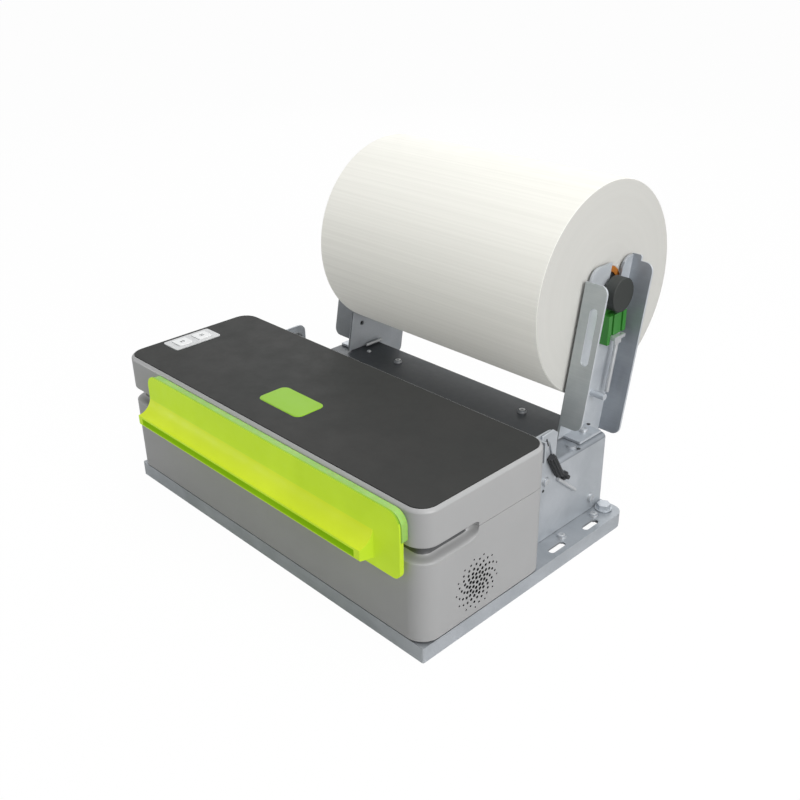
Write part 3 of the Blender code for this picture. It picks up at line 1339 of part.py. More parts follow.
def drive():
    platen, idler, pinion = gear_centre("platen"), gear_centre("idler"), gear_centre("pinion")
    platen_joint = new_empty("platen_spin", (PAPER_X, platen.y, platen.z), ROOT)
    idler_joint = new_empty("idler_spin", (PAPER_X, idler.y, idler.z), ROOT)
    motor_joint = new_empty("motor_spin", (PAPER_X, pinion.y, pinion.z), ROOT)
    frame_reach = PAPER_WIDTH * HALF + FRAME_MARGIN
    ends = mirrored(1, -gear_outer_distance() - GAP, frame_reach + SHEET + BEARING_FLANGE)
    shaft = x_rod("platen_shaft", ends, platen.y, platen.z, PLATEN_SHAFT, ROUND_SIDES)
    as_node(shaft, STEEL, platen_joint)
    centre, bore = (PAPER_X, platen.y, platen.z), PLATEN_SHAFT + GAP
    roller = ring("platen_roller", centre, PAPER_WIDTH + FRAME_MARGIN, PLATEN_RADIUS, bore)
    as_node(roller, RUBBER_BLACK, platen_joint)
    gear("platen_gear", platen, PLATEN_TEETH, IDLER_ANGLE, PLATEN_SHAFT, platen_joint, GEAR_WHITE)
    idler_phase = IDLER_ANGLE + math.pi + math.pi / IDLER_TEETH
    gear("idler_gear", idler, IDLER_TEETH, idler_phase, IDLER_POST, idler_joint, GEAR_WHITE)
    # The pinion's tooth fills the idler's gap nearest to the line between their centres
    pitch_angle = math.tau / IDLER_TEETH
    offset = (PINION_ANGLE - idler_phase) / pitch_angle
    miss = (offset - math.floor(offset) - HALF) * pitch_angle
    pinion_phase = PINION_ANGLE + math.pi + miss * IDLER_TEETH / PINION_TEETH
    wheel = gear("motor_pinion", pinion, PINION_TEETH, pinion_phase, 0, motor_joint, STEEL)
    inner = frame_reach - GAP
    span = mirrored(-1, inner - MOTOR_LENGTH, inner)
    motor = x_rod("feed_motor", span, pinion.y, pinion.z, MOTOR_RADIUS, ROUND_SIDES)
    through = mirrored(-1, inner - OVERRUN, inner + OVERRUN)
    cut(motor, x_rod("motor_bore", through, pinion.y, pinion.z, MOTOR_SHAFT + GAP))
    as_node(motor, BLACK_PLASTIC, ROOT)
    shaft = mirrored(-1, inner - OVERRUN + GAP, gear_outer_distance() - GEAR_WIDTH * HALF)
    join(wheel, x_rod("motor_shaft", shaft, pinion.y, pinion.z, MOTOR_SHAFT))


# Cutter and print head
def cutter():
    left, right = FRAME_LEFT + GAP, FRAME_RIGHT - GAP
    top = PATH_Z - BLADE_REST
    low = top - BLADE_HEIGHT
    tab_low = INNER_FLOOR + CUTTER_MOTOR_HEIGHT * HALF
    tab_left, tab_right = CUTTER_X - TAB_HALF, CUTTER_X + TAB_HALF
    outline = [
        (left, low), (tab_left, low), (tab_left, tab_low), (tab_right, tab_low), (tab_right, low),
        (right, low), (right, top), (left, top),
    ]
    joint = new_empty("cutter_slide", (PAPER_X, BLADE_Y, top), ROOT)
    as_node(front_plate("cutter_blade", outline, BLADE_Y, BLADE_Y + BLADE_SHEET), SPRING_STEEL, joint)
    half_width = CUTTER_MOTOR_WIDTH * HALF
    motor = block(
        "cutter_motor", (CUTTER_X - half_width, CUTTER_MOTOR_Y, INNER_FLOOR),
        (CUTTER_X + half_width, CUTTER_MOTOR_Y + CUTTER_MOTOR_DEPTH, INNER_FLOOR + CUTTER_MOTOR_HEIGHT),
    )
    as_node(motor, BLACK_PLASTIC, ROOT)


def print_head():
    bracket_left, bracket_right = PAPER_LEFT - BRACKET_MARGIN, PAPER_RIGHT + BRACKET_MARGIN
    front = BLADE_Y + BLADE_SHEET + GAP + BLADE_SHEET + GAP
    rear = HEAD_PIVOT_Y + BRACKET_FLANGE
    top = LID_ROOF_LOW - GAP
    low = GROOVE_TOP + GAP
    bracket = block("head_bracket", (bracket_left, front, low), (bracket_right, rear, top))
    room = block(
        "bracket_room", (bracket_left + BRACKET_SHEET, front + BRACKET_SHEET, low - OVERRUN),
        (bracket_right - BRACKET_SHEET, rear - BRACKET_SHEET, top - BRACKET_SHEET),
    )
    pivot = (bracket_left - GAP, bracket_right + GAP)
    through, bore = (bracket_left - OVERRUN, bracket_right + OVERRUN), HEAD_PIVOT_RADIUS + GAP
    cut(bracket, room, x_rod("pivot_hole", through, HEAD_PIVOT_Y, HEAD_PIVOT_Z, bore))
    as_node(bracket, ZINC, LID_JOINT)
    as_node(x_rod("head_pivot", pivot, HEAD_PIVOT_Y, HEAD_PIVOT_Z, HEAD_PIVOT_RADIUS), STEEL, LID_JOINT)
    fixed = block(
        "fixed_blade", (PAPER_LEFT, BLADE_Y + BLADE_SHEET + GAP, PATH_Z + BLADE_REST),
        (PAPER_RIGHT, BLADE_Y + BLADE_SHEET + GAP + BLADE_SHEET, PATH_Z + BLADE_REST + BLADE_HEIGHT),
    )
    as_node(fixed, SPRING_STEEL, LID_JOINT)

    joint = new_empty("print_head_hinge", (PAPER_X, HEAD_PIVOT_Y, HEAD_PIVOT_Z), LID_JOINT)
    head_left, head_right = PAPER_LEFT - HEAD_MARGIN, PAPER_RIGHT + HEAD_MARGIN
    head_front = PLATEN_Y - PLATEN_RADIUS
    head_rear, head_top = head_front + HEAD_DEPTH, PATH_Z + HEAD_HEIGHT
    sink = block("print_head", (head_left, head_front, PATH_Z), (head_right, head_rear, head_top))
    reach = HEAD_PIVOT_RADIUS + HEAD_EAR
    ear_front, ear_rear = HEAD_PIVOT_Y - reach, HEAD_PIVOT_Y + reach
    ear_low, ear_high = HEAD_PIVOT_Z - reach, HEAD_PIVOT_Z + reach
    ear_round = reach * HALF
    for side_name, side in SIDES.items():
        corners = [
            (head_front + HEAD_DEPTH * HALF, PATH_Z + GAP, 0), (head_rear - GAP, PATH_Z + GAP, 0),
            (ear_rear, ear_low, ear_round), (ear_rear, ear_high, ear_round),
            (ear_front, ear_high, ear_round),
        ]
        ear_x = mirrored(side, PAPER_WIDTH * HALF - HEAD_EAR, PAPER_WIDTH * HALF)
        ear = side_plate(f"head_ear_{side_name}", fillet(corners), *ear_x)
        join(sink, ear)
    cut(sink, x_rod("head_bore", through, HEAD_PIVOT_Y, HEAD_PIVOT_Z, bore))
    as_node(sink, ALUMINIUM, joint)


# Electrics under the chassis top
def socket_box(x, width, height, margin, inset=0.0, overrun=0.0):
    """Low and high corners of a socket's body, or of the window or room that belongs to it."""
    low_z = BOARD_Z + BOARD_THICKNESS + GAP
    reach = width * HALF + margin
    return (
        (x - reach, CHASSIS_REAR - SOCKET_DEPTH + inset, low_z - margin),
        (x + reach, CHASSIS_REAR + SOCKET_PROUD + overrun, low_z + height + margin),
    )


def electrics():
    board = plate(
        "main_board", centred(BOARD_X, BOARD_Y, BOARD_WIDTH, BOARD_DEPTH, BOARD_POST),
        BOARD_Z, BOARD_Z + BOARD_THICKNESS,
    )
    posts = []
    for side_x in SIDES.values():
        for side_y in SIDES.values():
            x = BOARD_X + side_x * (BOARD_WIDTH * HALF - BOARD_POST - BOARD_POST)
            y = BOARD_Y + side_y * (BOARD_DEPTH * HALF - BOARD_POST - BOARD_POST)
            posts.append(((x, y, FLOOR_Z), (x, y, BOARD_Z + GAP), BOARD_POST))
    low_z = BOARD_Z + BOARD_THICKNESS - GAP
    chips = []
    for share, size in zip(BOARD_PART_SHARES, BOARD_PART_SIZES):
        x = BOARD_X + (share - HALF) * BOARD_WIDTH
        chips.append(((x, BOARD_Y - size, low_z), (x + size, BOARD_Y, low_z + size * HALF)))
    join(board, rods("board_posts", posts), blocks("board_parts", chips))
    as_node(board, BOARD_GREEN, ROOT)
    socket("data_socket", SOCKET_X, SOCKET_WIDTH, SOCKET_HEIGHT)
    socket("power_inlet", INLET_X, INLET_WIDTH, INLET_HEIGHT)


def socket(name, x, width, height):
    shell = block(name, *socket_box(x, width, height, 0))
    room = block(name + "_room", *socket_box(x, width, height, -SOCKET_WALL, SOCKET_FLOOR, OVERRUN))
    as_node(cut(shell, room), BLACK_PLASTIC, ROOT)


def fan():
    outer = BODY_SIDE - BODY_WALL - GAP
    inner = outer - FAN_DEPTH
    half = FAN_SIZE * HALF
    frame = block("fan_frame", (inner, FAN_Y - half, FAN_Z - half), (outer, FAN_Y + half, FAN_Z + half))
    bore = x_rod("fan_bore", (inner - OVERRUN, outer + OVERRUN), FAN_Y, FAN_Z, FAN_BORE, ROUND_SIDES)
    cut(frame, bore)
    strut = FAN_STRUT * HALF
    strut_bar = block(
        "fan_strut", (inner, FAN_Y - half + GAP, FAN_Z - strut),
        (inner + FAN_STRUT, FAN_Y + half - GAP, FAN_Z + strut),
    )
    join(frame, strut_bar)
    as_node(frame, BLACK_PLASTIC, ROOT)
    joint = new_empty("fan_spin", (inner, FAN_Y, FAN_Z), ROOT)
    low, high = inner + FAN_STRUT + GAP, outer - RUNNING_GAP
    rotor = x_rod("fan_rotor", (low, high), FAN_Y, FAN_Z, FAN_HUB, ROUND_SIDES)
    shape = bmesh.new()
    reach = FAN_BORE - RUNNING_GAP - FAN_HUB + FAN_STRUT * HALF
    for number in range(FAN_BLADES):
        turn = Matrix.Rotation(math.tau * number / FAN_BLADES, 4, "X")
        tilt = Matrix.Rotation(FAN_TILT, 4, "Y")
        offset = Matrix.Translation((0, FAN_HUB - FAN_STRUT * HALF + reach * HALF, 0))
        size = Matrix.Diagonal((FAN_BLADE_SHEET, reach, FAN_BLADE_WIDTH, 1.0))
        centre = Matrix.Translation(((low + high) * HALF, FAN_Y, FAN_Z))
        bmesh.ops.create_cube(shape, size=1.0, matrix=centre @ turn @ offset @ tilt @ size)
    join(rotor, from_bmesh("fan_blades", shape))
    as_node(rotor, BLACK_PLASTIC, joint)


def build():
    base_tray()
    hex_bolts()
    lower_housing()
    lid_shell()
    lid_top_pieces()
    paper_mouth()
    chassis()
    for side_name, side in SIDES.items():
        hinge(side_name, side)
        hinge_pin(side_name, side)
        roll_arm(side_name, side)
        spindle_rest(side_name, side)
        frame_side(side_name, side)
        platen_bearing(side_name, side)
    paper_and_spindle()
    release_lever()
    near_end_sensor()
    frame_inner_parts()
    drive()
    cutter()
    print_head()
    electrics()
    fan()


build()
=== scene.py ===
"""Looks of the kiosk printer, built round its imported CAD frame.

Sizes are measured as in the CAD source: metres, X from the tray's middle, Y from its front edge and
Z from its underside. SHIFT moves them into the row frame.
"""

import json
import math

import bmesh
import bpy
from mathutils import Matrix, Vector


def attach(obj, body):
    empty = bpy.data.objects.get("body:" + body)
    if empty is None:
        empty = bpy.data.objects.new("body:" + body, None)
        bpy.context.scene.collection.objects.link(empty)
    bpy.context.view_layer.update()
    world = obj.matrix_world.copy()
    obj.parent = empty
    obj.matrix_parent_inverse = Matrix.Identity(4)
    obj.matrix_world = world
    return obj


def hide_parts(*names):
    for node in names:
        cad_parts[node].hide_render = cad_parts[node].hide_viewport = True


MIDDLE_Y = 0.1368
SHIFT = Matrix.Translation((0.0, -MIDDLE_Y, 0.0))
SIDES = {"left": -1, "right": 1}
GAP = 0.0003

# Sizes shared with the CAD
BODY_SIDE, BODY_FRONT, BODY_REAR, BODY_CORNER, BODY_WALL = 0.1555, -0.00115, 0.1125, 0.0135, 0.0022
FLOOR_Z, HOUSING_TOP, LID_LOW, LID_TOP, LID_ROOF = 0.0114, 0.07555, 0.07585, 0.1044, 0.1014
GROOVE_BOTTOM, GROOVE_TOP, GROOVE_DEPTH, GROOVE_END = 0.0678, 0.0778, 0.007, 0.046
RIM = GROOVE_DEPTH + BODY_WALL
PAPER_X = 0.0104
PATH_LEFT, PATH_RIGHT, PATH_LOW = -0.0981, 0.1189, 0.0670
CHASSIS_TOP = 0.0684
WALL_X = 0.1362
ARM_WEB, ARM_SHEET = 0.1192, 0.0018
FOOT_TOP = CHASSIS_TOP + GAP + ARM_SHEET
KEY_X, KEY_Y = -0.13985, {"front": 0.03975, "rear": 0.05695}
LEVER_PIN = (0.153, 0.0555)
LEAN_ANGLE = math.radians(11.0)
LEAN = Vector((0, math.sin(LEAN_ANGLE), math.cos(LEAN_ANGLE)))
ROLL_Y, ROLL_Z = 0.2175, 0.1642
GRILLE_Y, GRILLE_Z = 0.0455, 0.0355

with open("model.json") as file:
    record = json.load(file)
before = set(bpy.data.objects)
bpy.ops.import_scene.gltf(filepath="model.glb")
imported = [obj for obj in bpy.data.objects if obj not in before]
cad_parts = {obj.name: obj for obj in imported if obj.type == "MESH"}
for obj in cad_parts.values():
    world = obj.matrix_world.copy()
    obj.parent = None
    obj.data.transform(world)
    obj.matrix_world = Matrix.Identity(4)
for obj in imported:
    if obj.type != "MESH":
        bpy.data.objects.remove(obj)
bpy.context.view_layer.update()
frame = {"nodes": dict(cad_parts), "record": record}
nodes = frame["nodes"]
node_body = {n: b for b, group in frame["record"]["behaviour"]["bodies"].items() for n in group}
node_slot = {s["node"]: s["material_slot"] for s in frame["record"]["subparts"]}


# Materials
WHITE = (1.0, 1.0, 1.0, 1.0)
ACRYLIC_IOR = 1.49
MIX_A, MIX_B, MIX_RESULT = 6, 7, 2


def linear(channel):
    return channel / 12.92 if channel <= 0.04045 else ((channel + 0.055) / 1.055) ** 2.4


def colour(r, g, b):
    """A colour given in sRGB steps of 255."""
    return (linear(r / 255), linear(g / 255), linear(b / 255), 1.0)


class Surface:
    """A Principled material and the nodes that feed it."""

    def __init__(self, name):
        self.material = bpy.data.materials.new(name)
        self.material.use_nodes = True
        self.nodes = self.material.node_tree.nodes
        self.links = self.material.node_tree.links
        self.shader = self.nodes["Principled BSDF"]
        self.where = self.nodes.new("ShaderNodeTexCoord").outputs["Object"]

    def set(self, **values):
        for name, value in values.items():
            self.shader.inputs[name.replace("_", " ")].default_value = value
        return self

    def into(self, socket, output):
        self.links.new(output, self.shader.inputs[socket])
        return self

    def stretched(self, scale, turn=(0.0, 0.0, 0.0)):
        mapping = self.nodes.new("ShaderNodeMapping")
        mapping.inputs["Scale"].default_value = scale
        mapping.inputs["Rotation"].default_value = turn
        self.links.new(self.where, mapping.inputs["Vector"])
        return mapping.outputs["Vector"]

    def noise(self, scale, detail=2.0, roughness=0.5, vector=None, distortion=0.0):
        noise = self.nodes.new("ShaderNodeTexNoise")
        noise.inputs["Scale"].default_value = scale
        noise.inputs["Detail"].default_value = detail
        noise.inputs["Roughness"].default_value = roughness
        noise.inputs["Distortion"].default_value = distortion
        self.links.new(vector or self.where, noise.inputs["Vector"])
        return noise.outputs["Fac"]

    def ramp(self, fac, low, high, start=0.3, end=0.7):
        """A colour or a number that goes from low to high as fac goes from start to end."""
        ramp = self.nodes.new("ShaderNodeValToRGB")
        first, last = ramp.color_ramp.elements
        first.position, last.position = start, end
        first.color = low if hasattr(low, "__len__") else (low, low, low, 1.0)
        last.color = high if hasattr(high, "__len__") else (high, high, high, 1.0)
        self.links.new(fac, ramp.inputs["Fac"])
        return ramp.outputs["Color"]

    def product(self, first, second):
        node = self.nodes.new("ShaderNodeMath")
        node.operation = "MULTIPLY"
        self.links.new(first, node.inputs[0])
        self.links.new(second, node.inputs[1])
        return node.outputs["Value"]

    def mixed(self, share, low, high, kind="MIX"):
        node = self.nodes.new("ShaderNodeMix")
        node.data_type = "RGBA"
        node.blend_type = kind
        node.inputs["Factor"].default_value = share
        self.links.new(low, node.inputs[MIX_A])
        self.links.new(high, node.inputs[MIX_B])
        return node.outputs[MIX_RESULT]

    def bump(self, *layers):
        """Bumps from (height, strength, distance) layers, each on top of the one before."""
        normal = None
        for height, strength, distance in layers:
            bump = self.nodes.new("ShaderNodeBump")
            bump.inputs["Strength"].default_value = strength
            bump.inputs["Distance"].default_value = distance
            self.links.new(height, bump.inputs["Height"])
            if normal is not None:
                self.links.new(normal, bump.inputs["Normal"])
            normal = bump.outputs["Normal"]
        return self.into("Normal", normal)


def sheet_metal(name, dark, light, metallic, roughness, grain=(30.0, 1400.0, 1400.0), shade=None):
    """Plated sheet: soft clouds in the plating, fine rolling grain along X and faint handling marks.

    A shade (axis, colour, start, end) is painted shade, darkening the sheet towards that colour from end to
    start.
    """
    s = Surface(name).set(Metallic=metallic)
    clouds = s.noise(34.0, 4.0, 0.62, distortion=0.4)
    grain_fac = s.noise(1.0, 3.0, 0.6, s.stretched(grain))
    base = s.ramp(clouds, dark, light, 0.34, 0.66)
    streaks = s.ramp(grain_fac, 0.95, 1.0, 0.35, 0.6)
    base = s.mixed(1.0, base, streaks, "MULTIPLY")
    # Painted shade: the base colour darkens along one axis.
    if shade:
        axis, tone, start, end = shade
        parts = s.nodes.new("ShaderNodeSeparateXYZ")
        s.links.new(s.where, parts.inputs["Vector"])
        base = s.mixed(1.0, base, s.ramp(parts.outputs[axis], tone, WHITE, start, end), "MULTIPLY")
    s.into("Base Color", base)
    worn = s.product(s.noise(190.0, 3.0, 0.7), clouds)
    s.into("Roughness", s.ramp(worn, roughness - 0.06, roughness + 0.08, 0.12, 0.42))
    s.bump((grain_fac, 0.25, 0.00001), (clouds, 0.08, 0.0001))
    return s.material


def moulded(name, tone, roughness, grain=2600.0, grain_height=0.00003, change=0.06):
    """Moulded plastic with an eroded grain, slight colour flow and rubbed spots."""
    s = Surface(name)
    flow = s.noise(22.0, 3.0, 0.5, distortion=0.6)
    low = tuple(c * (1.0 - change) for c in tone[:3]) + (1.0,)
    high = tuple(min(1.0, c * (1.0 + change)) for c in tone[:3]) + (1.0,)
    s.into("Base Color", s.ramp(flow, low, high, 0.3, 0.7))
    rubbed = s.noise(75.0, 4.0, 0.65)
    s.into("Roughness", s.ramp(rubbed, roughness - 0.02, roughness + 0.05, 0.3, 0.75))
    s.bump((s.noise(grain, 2.0, 0.6), 0.35, grain_height))
    return s.material


def lime_acrylic(name, base, glow, strength=0.70):
    """Fluorescent acrylic that light runs through; its emission is painted glow. Base and glow are pairs of
    colours.
    """
    # Painted light: the emission makes the acrylic glow without any lamp inside it.
    s = Surface(name).set(
        IOR=ACRYLIC_IOR, Subsurface_Weight=0.15, Subsurface_Scale=0.006, Emission_Strength=strength,
        Specular_IOR_Level=0.25,
    )
    s.shader.inputs["Subsurface Radius"].default_value = (1.0, 1.2, 0.25)
    flow = s.noise(16.0, 2.0, 0.5, distortion=0.8)
    s.into("Base Color", s.ramp(flow, *base, 0.35, 0.68))
    s.into("Emission Color", s.ramp(flow, *glow, 0.35, 0.68))
    s.into("Roughness", s.ramp(s.noise(120.0, 4.0, 0.6), 0.42, 0.56, 0.35, 0.7))
    return s.bump((s.noise(900.0, 2.0, 0.5), 0.10, 0.000006)).material


def frosted_green():
    # Painted light: the emission makes the guide glow without a lamp behind it.
    s = Surface("frosted_green").set(
        IOR=ACRYLIC_IOR, Subsurface_Weight=0.3, Subsurface_Scale=0.004, Emission_Strength=0.18
    )
    tone = s.ramp(s.noise(60.0, 3.0, 0.6), colour(126, 170, 72), colour(140, 182, 86), 0.3, 0.7)
    s.into("Base Color", tone)
    s.into("Emission Color", tone)
    s.into("Roughness", s.ramp(s.noise(300.0, 2.0, 0.5), 0.35, 0.5))
    return s.bump((s.noise(1200.0, 2.0, 0.6), 0.3, 0.00002)).material


def inlay_film():
    """Dark film on the lid: satin, with a fine leather-like grain."""
    s = Surface("inlay_film").set(Specular_IOR_Level=0.08)
    flow = s.noise(9.0, 3.0, 0.55)
    s.into("Base Color", s.ramp(flow, colour(56, 57, 56), colour(60, 60, 59), 0.35, 0.65))
    s.into("Roughness", s.ramp(s.noise(60.0, 4.0, 0.7), 0.52, 0.64, 0.35, 0.7))
    cells = s.nodes.new("ShaderNodeTexVoronoi")
    cells.inputs["Scale"].default_value = 1900.0
    s.links.new(s.where, cells.inputs["Vector"])
    return s.bump((cells.outputs["Distance"], 0.25, 0.00003), (s.noise(5000.0), 0.2, 0.00001)).material


def thermal_paper():
    """The roll: thermal paper with faint winding lines along X and soft fibre; its emission is painted light,
    brightening even its shaded underside.
    """
    s = Surface("thermal_paper").set(Emission_Strength=0.27, Specular_IOR_Level=0.2)
    winding = s.noise(1.0, 2.0, 0.5, s.stretched((4.0, 700.0, 700.0)))
    tone = s.ramp(winding, colour(219, 218, 211), colour(224, 223, 216), 0.35, 0.65)
    s.into("Base Color", tone)
    s.into("Emission Color", tone)
    s.into("Roughness", s.ramp(s.noise(90.0, 3.0, 0.5), 0.55, 0.72))
    return s.bump((winding, 0.10, 0.00001), (s.noise(1700.0, 3.0, 0.6), 0.25, 0.00002)).material


def paper_end():
    """The roll's cut end: many layers as fine rings about the axis."""
    s = Surface("paper_end")
    place = s.nodes.new("ShaderNodeMapping")
    place.inputs["Location"].default_value = (0.0, MIDDLE_Y - ROLL_Y, -ROLL_Z)
    s.links.new(s.where, place.inputs["Vector"])
    flat = s.nodes.new("ShaderNodeVectorMath")
    flat.operation = "MULTIPLY"
    flat.inputs[1].default_value = (0.0, 1.0, 1.0)
    s.links.new(place.outputs["Vector"], flat.inputs[0])
    length = s.nodes.new("ShaderNodeVectorMath")
    length.operation = "LENGTH"
    s.links.new(flat.outputs["Vector"], length.inputs[0])
    join = s.nodes.new("ShaderNodeCombineXYZ")
    s.links.new(length.outputs["Value"], join.inputs["X"])
    rings = s.noise(2600.0, 4.0, 0.7, join.outputs["Vector"])
    bands = s.noise(170.0, 2.0, 0.6, join.outputs["Vector"])
    tone = s.mixed(0.5, s.ramp(bands, colour(200, 199, 194), colour(205, 204, 199), 0.3, 0.7),
                   s.ramp(rings, colour(197, 196, 191), colour(208, 207, 202), 0.3, 0.7))
    s.into("Base Color", tone)
    s.set(Roughness=0.8)
    return s.bump((rings, 0.35, 0.00005)).material


def card():
    """Spiral-wound card, with the seams of its strips."""
    s = Surface("card")
    fibre = s.noise(1.0, 4.0, 0.65, s.stretched((240.0, 900.0, 900.0), (0.0, 0.5, 0.3)))
    s.into("Base Color", s.ramp(fibre, colour(150, 86, 16), colour(188, 114, 30), 0.3, 0.7))
    s.set(Roughness=0.85)
    return s.bump((fibre, 0.5, 0.0001)).material


def key_plate_white():
    """White label plate with a fine raised net between the keys."""
    s = Surface("key_plate_white")
    net = s.nodes.new("ShaderNodeTexVoronoi")
    net.feature = "DISTANCE_TO_EDGE"
    net.inputs["Scale"].default_value = 900.0
    s.links.new(s.where, net.inputs["Vector"])
    depth = net.outputs["Distance"]
    s.into("Base Color", s.ramp(depth, colour(196, 197, 198), colour(222, 223, 223), 0.02, 0.25))
    s.set(Roughness=0.42)
    return s.bump((depth, 0.3, 0.0001)).material


def circuit_board():
    """Green solder mask with paler tracks under it."""
    s = Surface("circuit_board")
    tracks = s.nodes.new("ShaderNodeTexBrick")
    tracks.inputs["Scale"].default_value = 220.0
    tracks.inputs["Mortar Size"].default_value = 0.06
    tracks.inputs["Color1"].default_value = colour(24, 88, 50)
    tracks.inputs["Color2"].default_value = colour(30, 98, 56)
    tracks.inputs["Mortar"].default_value = colour(54, 130, 78)
    s.links.new(s.where, tracks.inputs["Vector"])
    s.into("Base Color", tracks.outputs["Color"])
    s.into("Roughness", s.ramp(s.noise(200.0), 0.3, 0.42))
    return s.bump((tracks.outputs["Fac"], 0.2, 0.00003)).material


ZINC = sheet_metal("zinc_plate", colour(181, 186, 191), colour(195, 199, 204), 0.5, 0.42)
# Painted shade: a darker copy of the zinc for the tray's upward faces and the left hinge bracket.
ZINC_SHADE_PAINTED = sheet_metal("zinc_shade_painted", colour(158, 163, 168), colour(171, 175, 180), 0.5, 0.42)
# Painted light and shade: a paler copy of the zinc for the right arm's front flange, darker towards its foot.
ZINC_LIGHT_AND_SHADE_PAINTED = sheet_metal(
    "zinc_light_and_shade_painted", colour(172, 179, 180), colour(186, 191, 191), 0.35, 0.46,
    shade=("Z", colour(246, 246, 247), 0.098, 0.114),
)
# Painted light: a paler copy of the zinc for the right arm's web.
ZINC_LIGHT_PAINTED = sheet_metal("zinc_light_painted", colour(194, 199, 204), colour(207, 211, 215), 0.4, 0.46)
# Painted shade: a darker copy of the zinc for the right arm's rear flange.
ZINC_REAR_SHADE_PAINTED = sheet_metal("zinc_rear_shade_painted", colour(146, 151, 158), colour(158, 163, 169), 0.5, 0.42)
# Painted shadow and reflection: a darker copy of the zinc for the chassis top, darker still under the roll
# than past its right end.
ZINC_ROLL_SHADOW_PAINTED = sheet_metal(
    "zinc_roll_shadow_painted", colour(140, 145, 151), colour(152, 157, 163), 0.5, 0.40,
    shade=("X", colour(116, 118, 120), 0.108, 0.121),
)
# Painted shade: a much darker copy of the zinc for the left arm's front flange.
ZINC_DEEP_SHADE_PAINTED = sheet_metal("zinc_deep_shade_painted", colour(108, 112, 115), colour(122, 126, 129), 0.4, 0.48)
BRIGHT = sheet_metal(
    "nickel_plate", colour(186, 188, 190), colour(204, 206, 208), 0.55, 0.34, (600.0, 600.0, 600.0)
)
STEEL = sheet_metal(
    "bright_steel", colour(176, 178, 180), colour(206, 208, 210), 0.9, 0.26, (900.0, 900.0, 40.0)
)
BLADE = sheet_metal("spring_steel", colour(120, 122, 124), colour(150, 152, 154), 0.9, 0.3)
ALUMINIUM = sheet_metal("extruded_aluminium", colour(176, 178, 181), colour(200, 202, 204), 0.85, 0.34)
HOUSING = moulded("housing_grey", colour(166, 166, 166), 0.34, change=0.02)
# Painted shade: a dark copy of the housing grey for the finger groove's depth and the lid's underside.
HOUSING_SHADE_PAINTED = moulded("housing_shade_painted", colour(76, 77, 78), 0.5, change=0.02)
FILM = inlay_film()
PAD = moulded("pad_green", colour(136, 185, 22), 0.5, 3200.0, 0.00001, 0.03)
KEY_WHITE = moulded("key_white", colour(236, 237, 237), 0.36, 2200.0, 0.00001, 0.01)
KEY_PLATE = key_plate_white()
INK = moulded("icon_grey", colour(90, 92, 94), 0.6)
LIME = lime_acrylic(
    "lime_acrylic", (colour(122, 141, 28), colour(131, 150, 36)), (colour(173, 205, 38), colour(180, 211, 44))
)
# Painted light: a brighter-glowing copy of the lime for the upward faces of the sweep.
LIME_LIGHT_PAINTED = lime_acrylic(
    "lime_light_painted", (colour(128, 138, 22), colour(136, 147, 30)), (colour(190, 211, 36), colour(197, 216, 42))
)
# Painted shade: a darker copy of the lime for the slot and the plate's top edge.
LIME_SHADE_PAINTED = lime_acrylic(
    "lime_shade_painted", (colour(98, 126, 20), colour(106, 134, 24)), (colour(128, 174, 18), colour(136, 182, 22)),
    0.6,
)
FROSTED = frosted_green()
BLOCK_GREEN = moulded("block_green", colour(52, 128, 46), 0.34, 1500.0, 0.00002, 0.10)
PAPER = thermal_paper()
PAPER_END = paper_end()
CARD = card()
KNOB = moulded("knob_grey", colour(43, 46, 44), 0.55, 2400.0, 0.00004, 0.05)
RUBBER = moulded("platen_rubber", colour(46, 46, 47), 0.75, 3600.0, 0.00005, 0.08)
GEAR = moulded("gear_acetal", colour(226, 223, 214), 0.42, 1800.0, 0.00001, 0.03)
BOARD = circuit_board()
BLACK = moulded("black_plastic", colour(38, 39, 41), 0.5, 2400.0, 0.00004, 0.10)

SLOT_MATERIALS = {
    "zinc": ZINC, "steel": STEEL, "grey_plastic": HOUSING, "dark_inlay": FILM, "white_plastic": KEY_WHITE,
    "green_pad": PAD, "lime_translucent": LIME, "pale_green": FROSTED, "block_green": BLOCK_GREEN,
    "paper": PAPER, "card": CARD, "knob_grey": KNOB, "rubber": RUBBER, "gear_white": GEAR,
    "circuit_board": BOARD, "aluminium": ALUMINIUM, "black_plastic": BLACK,
}


# Making pieces
def linked(name, data):
    """A new object in the scene."""
    obj = bpy.data.objects.new(name, data)
    bpy.context.scene.collection.objects.link(obj)
    return obj


def mesh_of(name, shape):
    mesh = bpy.data.meshes.new(name)
    shape.to_mesh(mesh)
    shape.free()
    return mesh


def piece(name, shape, body, *materials, slot, angle=32.0, place=SHIFT):
    """A new piece from a bmesh in the CAD source's measures, riding on a body."""
    bmesh.ops.transform(shape, matrix=place, verts=shape.verts)
    mesh = mesh_of(name, shape)
    for item in materials:
        mesh.materials.append(item)
    mesh.shade_smooth()
    mesh.set_sharp_from_angle(angle=math.radians(angle))
    obj = linked(name, mesh)
    normals = obj.modifiers.new("even_normals", "WEIGHTED_NORMAL")
    normals.keep_sharp = True
    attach(obj, body)
    return obj


def cleaned(shape, flat):
    """Joins doubled points and takes out the edges that bend by less than flat degrees."""
    bmesh.ops.remove_doubles(shape, verts=shape.verts, dist=0.000002)
    bmesh.ops.dissolve_limit(shape, angle_limit=math.radians(flat), verts=shape.verts, edges=shape.edges)


def edges_rounded(shape, offset, segments, angle):
    """Rounds the edges that bend by more than angle degrees."""
    limit = math.radians(angle)
    edges = [e for e in shape.edges if len(e.link_faces) == 2 and e.calc_face_angle(0) > limit]
    bmesh.ops.bevel(
        shape, geom=edges, offset=offset, segments=segments, profile=0.5, affect="EDGES", clamp_overlap=True
    )


def bevelled(shape, offset, segments=3):
    cleaned(shape, 0.5)
    edges_rounded(shape, offset, segments, 40.0)
    return shape


